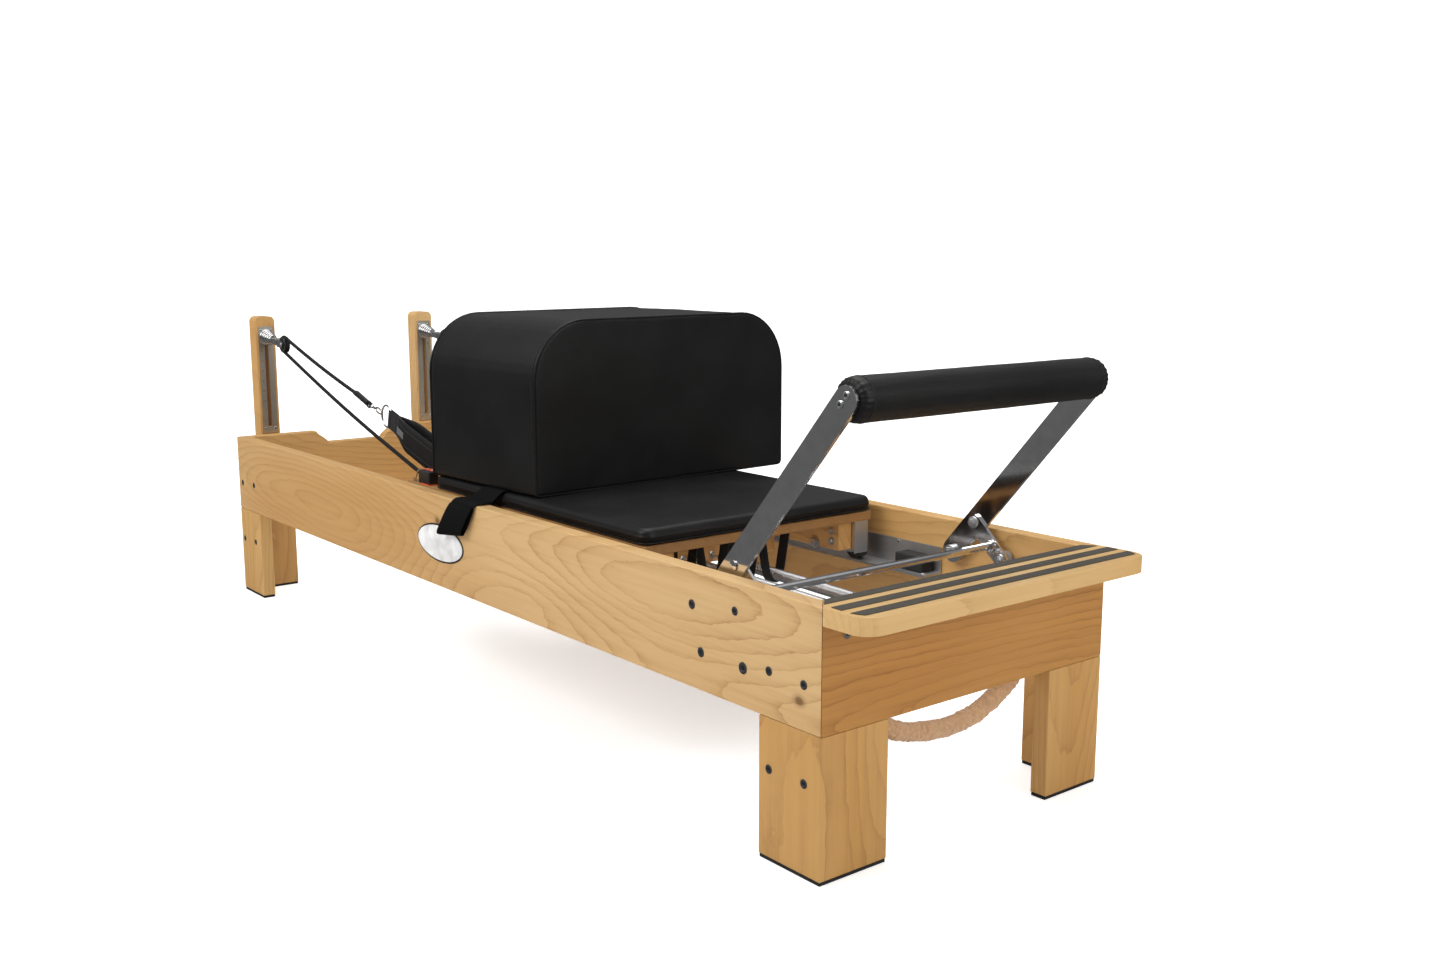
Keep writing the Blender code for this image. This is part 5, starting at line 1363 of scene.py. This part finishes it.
# webbing strap from under the box, over the left rail
PT = BTOP + 0.031
RT = RAIL_TOP
rows = [((0.100, -0.200, PT + 0.0014), (0.180, -0.200, PT + 0.0014)), ((0.098, -0.250, PT + 0.0014), (0.178, -0.250, PT + 0.0014)),
        ((0.095, -0.2745, PT + 0.0010), (0.175, -0.2745, PT + 0.0010)), ((0.092, -0.2845, PT - 0.0060), (0.172, -0.2845, PT - 0.0060)),
        ((0.087, -0.2970, RT + 0.0080), (0.169, -0.2970, RT + 0.0070)), ((0.082, -0.3140, RT + 0.0062), (0.167, -0.3140, RT + 0.0040)),
        ((0.077, -0.3275, RT + 0.0056), (0.164, -0.3268, RT + 0.0032)), ((0.073, -0.3360, RT - 0.0005), (0.161, -0.3340, RT - 0.0020)),
        ((0.070, -0.3395, RT - 0.0120), (0.156, -0.3355, RT - 0.0140)), ((0.060, -0.3405, RT - 0.0300), (0.147, -0.3365, RT - 0.0300)),
        ((0.045, -0.3410, RT - 0.0500), (0.136, -0.3372, RT - 0.0460)), ((0.034, -0.3420, RT - 0.0640), (0.128, -0.3380, RT - 0.0560)),
        ((0.0285, -0.3455, RT - 0.0735), (0.124, -0.3405, RT - 0.0635)), ((0.0290, -0.3500, RT - 0.0730), (0.1235, -0.3440, RT - 0.0630)),
        ((0.036, -0.3530, RT - 0.0640), (0.127, -0.3470, RT - 0.0560)), ((0.047, -0.3530, RT - 0.0500), (0.134, -0.3470, RT - 0.0450)),
        ((0.061, -0.3510, RT - 0.0300), (0.145, -0.3450, RT - 0.0280)), ((0.071, -0.3470, RT - 0.0130), (0.154, -0.3410, RT - 0.0120)),
        ((0.0745, -0.3410, RT - 0.0030), (0.159, -0.3385, RT - 0.0020))]
eL = smooth([P(*r_[0]) for r_ in rows], 6)
eR = smooth([P(*r_[1]) for r_ in rows], 6)
o = between("box_webbing", eL, eR, 0.0022, M_WEBDULL, "carriage", cols=14)
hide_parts("box_strap")

# ----------------------------------------------------------------------------
# foot bar
# ----------------------------------------------------------------------------
PIV, TOP, PIN = (0.862, 0.371), (1.163, 0.7155), (0.916, 0.4335)
ROD, BEND = (0.958, 0.396), (0.981, 0.3755)
ROLL_L = 0.2815


def pleat(r, h, a):
    k = min(1.0, max(0.0, (abs(h) - (ROLL_L - 0.020)) / 0.020))
    q = noise.noise(Vector((math.cos(a) * 3.0, math.sin(a) * 3.0, h * 9.0)))
    q2 = noise.noise(Vector((math.cos(a) * 9.0, math.sin(a) * 9.0, h * 34.0)))
    rr = r + 0.0006 * q + 0.00025 * q2
    if r > 0.006:
        rr += 0.0008 * k * (math.cos(22 * a + 1.5 * math.sin(3 * a)) - 0.3)
    return rr, h


prof = [(0.0, -ROLL_L)]
side = [(0.010, ROLL_L - 0.0012), (0.018, ROLL_L - 0.0006), (0.0250, ROLL_L - 0.0010), (0.0300, ROLL_L - 0.0028),
        (0.0328, ROLL_L - 0.0065), (0.0338, ROLL_L - 0.0130), (0.0340, ROLL_L - 0.0220)]
mid = [(0.0342, -0.2595 + 0.519 * i / 44) for i in range(45)]
prof = [(0.0, -ROLL_L + 0.0014)] + [(r, -h) for r, h in side] + mid + [(r, h) for r, h in side[::-1]] + \
    [(0.0, ROLL_L - 0.0014)]
roll = lathe("footbar_cushion", prof, P(TOP[0], 0, TOP[1]), (0, 1, 0), M_ROLLV, "footbar", 132, pleat, 70)
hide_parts("footbar_roll")
for k, h in (("a", ROLL_L - 0.020), ("b", -ROLL_L + 0.020)):
    c = P(TOP[0], h, TOP[1])
    tube("roll_stitch_" + k, [c + Vector((math.cos(2 * math.pi * i / 96), 0, math.sin(2 * math.pi * i / 96))) * 0.0344
                              for i in range(96)], 0.0006, M_THREAD, "footbar", 6, closed=True)
# lengthwise seam of the roll's cover, underneath
tube("roll_seam", [P(TOP[0] - 0.0150, -0.262 + 0.524 * i / 30, TOP[1] - 0.0309) for i in range(31)], 0.0010, M_PIPE,
     "footbar", 6)

for s, sn in ((-1, "left"), (1, "right")):
    yo = s * (0.285 + 0.003)
    for k, (x, z) in enumerate(((1.1660, 0.7230), (1.1530, 0.7090))):
        bolt("arm_bolt_%d_%s" % (k, sn), P(x, yo, z), (0, s, 0), 0.0062, M_ZINC, "footbar", 0.0024)
    # nuts and washers where the brace is pinned and at the rollers
    hexnut("brace_nut_" + sn, P(PIN[0], s * 0.2766, PIN[1]), (0, -s, 0), 0.0075, 0.0080, M_ZINC, "brace")
    hexnut("brace_roller_nut_" + sn, P(BEND[0], s * 0.2766, BEND[1]), (0, -s, 0), 0.0062, 0.0064, M_ZINC, "brace")
    for k, t in (("rod", ROD),):
        lathe("rod_collar_" + sn, [(0.0072, 0), (0.0105, 0), (0.0110, 0.0008), (0.0110, 0.0040), (0.0104, 0.0048),
                                   (0.0072, 0.0048), (0.0072, 0)], P(t[0], s * 0.2764, t[1]), (0, -s, 0), M_CHROME,
              "brace", 32)
    # rubber tyre round the resting roller
    lathe("brace_tyre_" + sn, [(0.0132, 0.2840), (0.0136, 0.2840), (0.0136, 0.2958), (0.0132, 0.2958), (0.0132, 0.2840)],
          P(BEND[0], 0, BEND[1]), (0, s, 0), M_HUB, "brace", 40)
    hexnut("pivot_nut_" + sn, P(PIV[0], s * 0.2756, PIV[1]), (0, -s, 0), 0.0080, 0.0060, M_ZINC, "frame")

# ----------------------------------------------------------------------------
# floor
# ----------------------------------------------------------------------------
me = bpy.data.meshes.new("floor")
me.from_pydata([(-30, -30, -0.0004), (30, -30, -0.0004), (30, 30, -0.0004), (-30, 30, -0.0004)], [], [(0, 1, 2, 3)])
floor = bpy.data.objects.new("floor", me)
scn.collection.objects.link(floor)
fm = Mat("studio_floor")
fn = fm.noise(fm.coords(), 3.0, 2.0)
me.materials.append(fm.done(fm.mix(fn, (0.90, 0.90, 0.90), (0.93, 0.93, 0.93)), 0.9, spec=0.1))
away = fm.node("ShaderNodeVectorMath")
away.operation = "LENGTH"
fm.link(fm.tc.outputs["Object"], away.inputs[0])
glow = fm.ramp(fm.math("MULTIPLY", away.outputs["Value"], 0.2), [(0.22, 0.50), (0.70, 1.0)])
flp = fm.node("ShaderNodeLightPath")
lit = fm.math("MAXIMUM", fm.math("MULTIPLY", flp.outputs["Is Camera Ray"], glow), 0.12)
fm.b.inputs["Emission Color"].default_value = (1, 1, 1, 1)
fm.link(lit, fm.b.inputs["Emission Strength"])
dim = fm.node("ShaderNodeEmission")
dim.inputs["Color"].default_value = (1, 1, 1, 1)
dim.inputs["Strength"].default_value = 0.13
fmx = fm.node("ShaderNodeMixShader")
f_out = [n_ for n_ in fm.t.nodes if n_.bl_idname == "ShaderNodeOutputMaterial"][0]
fm.link(flp.outputs["Is Glossy Ray"], fmx.inputs[0])
fm.link(fm.b.outputs[0], fmx.inputs[1])
fm.link(dim.outputs[0], fmx.inputs[2])
fm.link(fmx.outputs[0], f_out.inputs["Surface"])
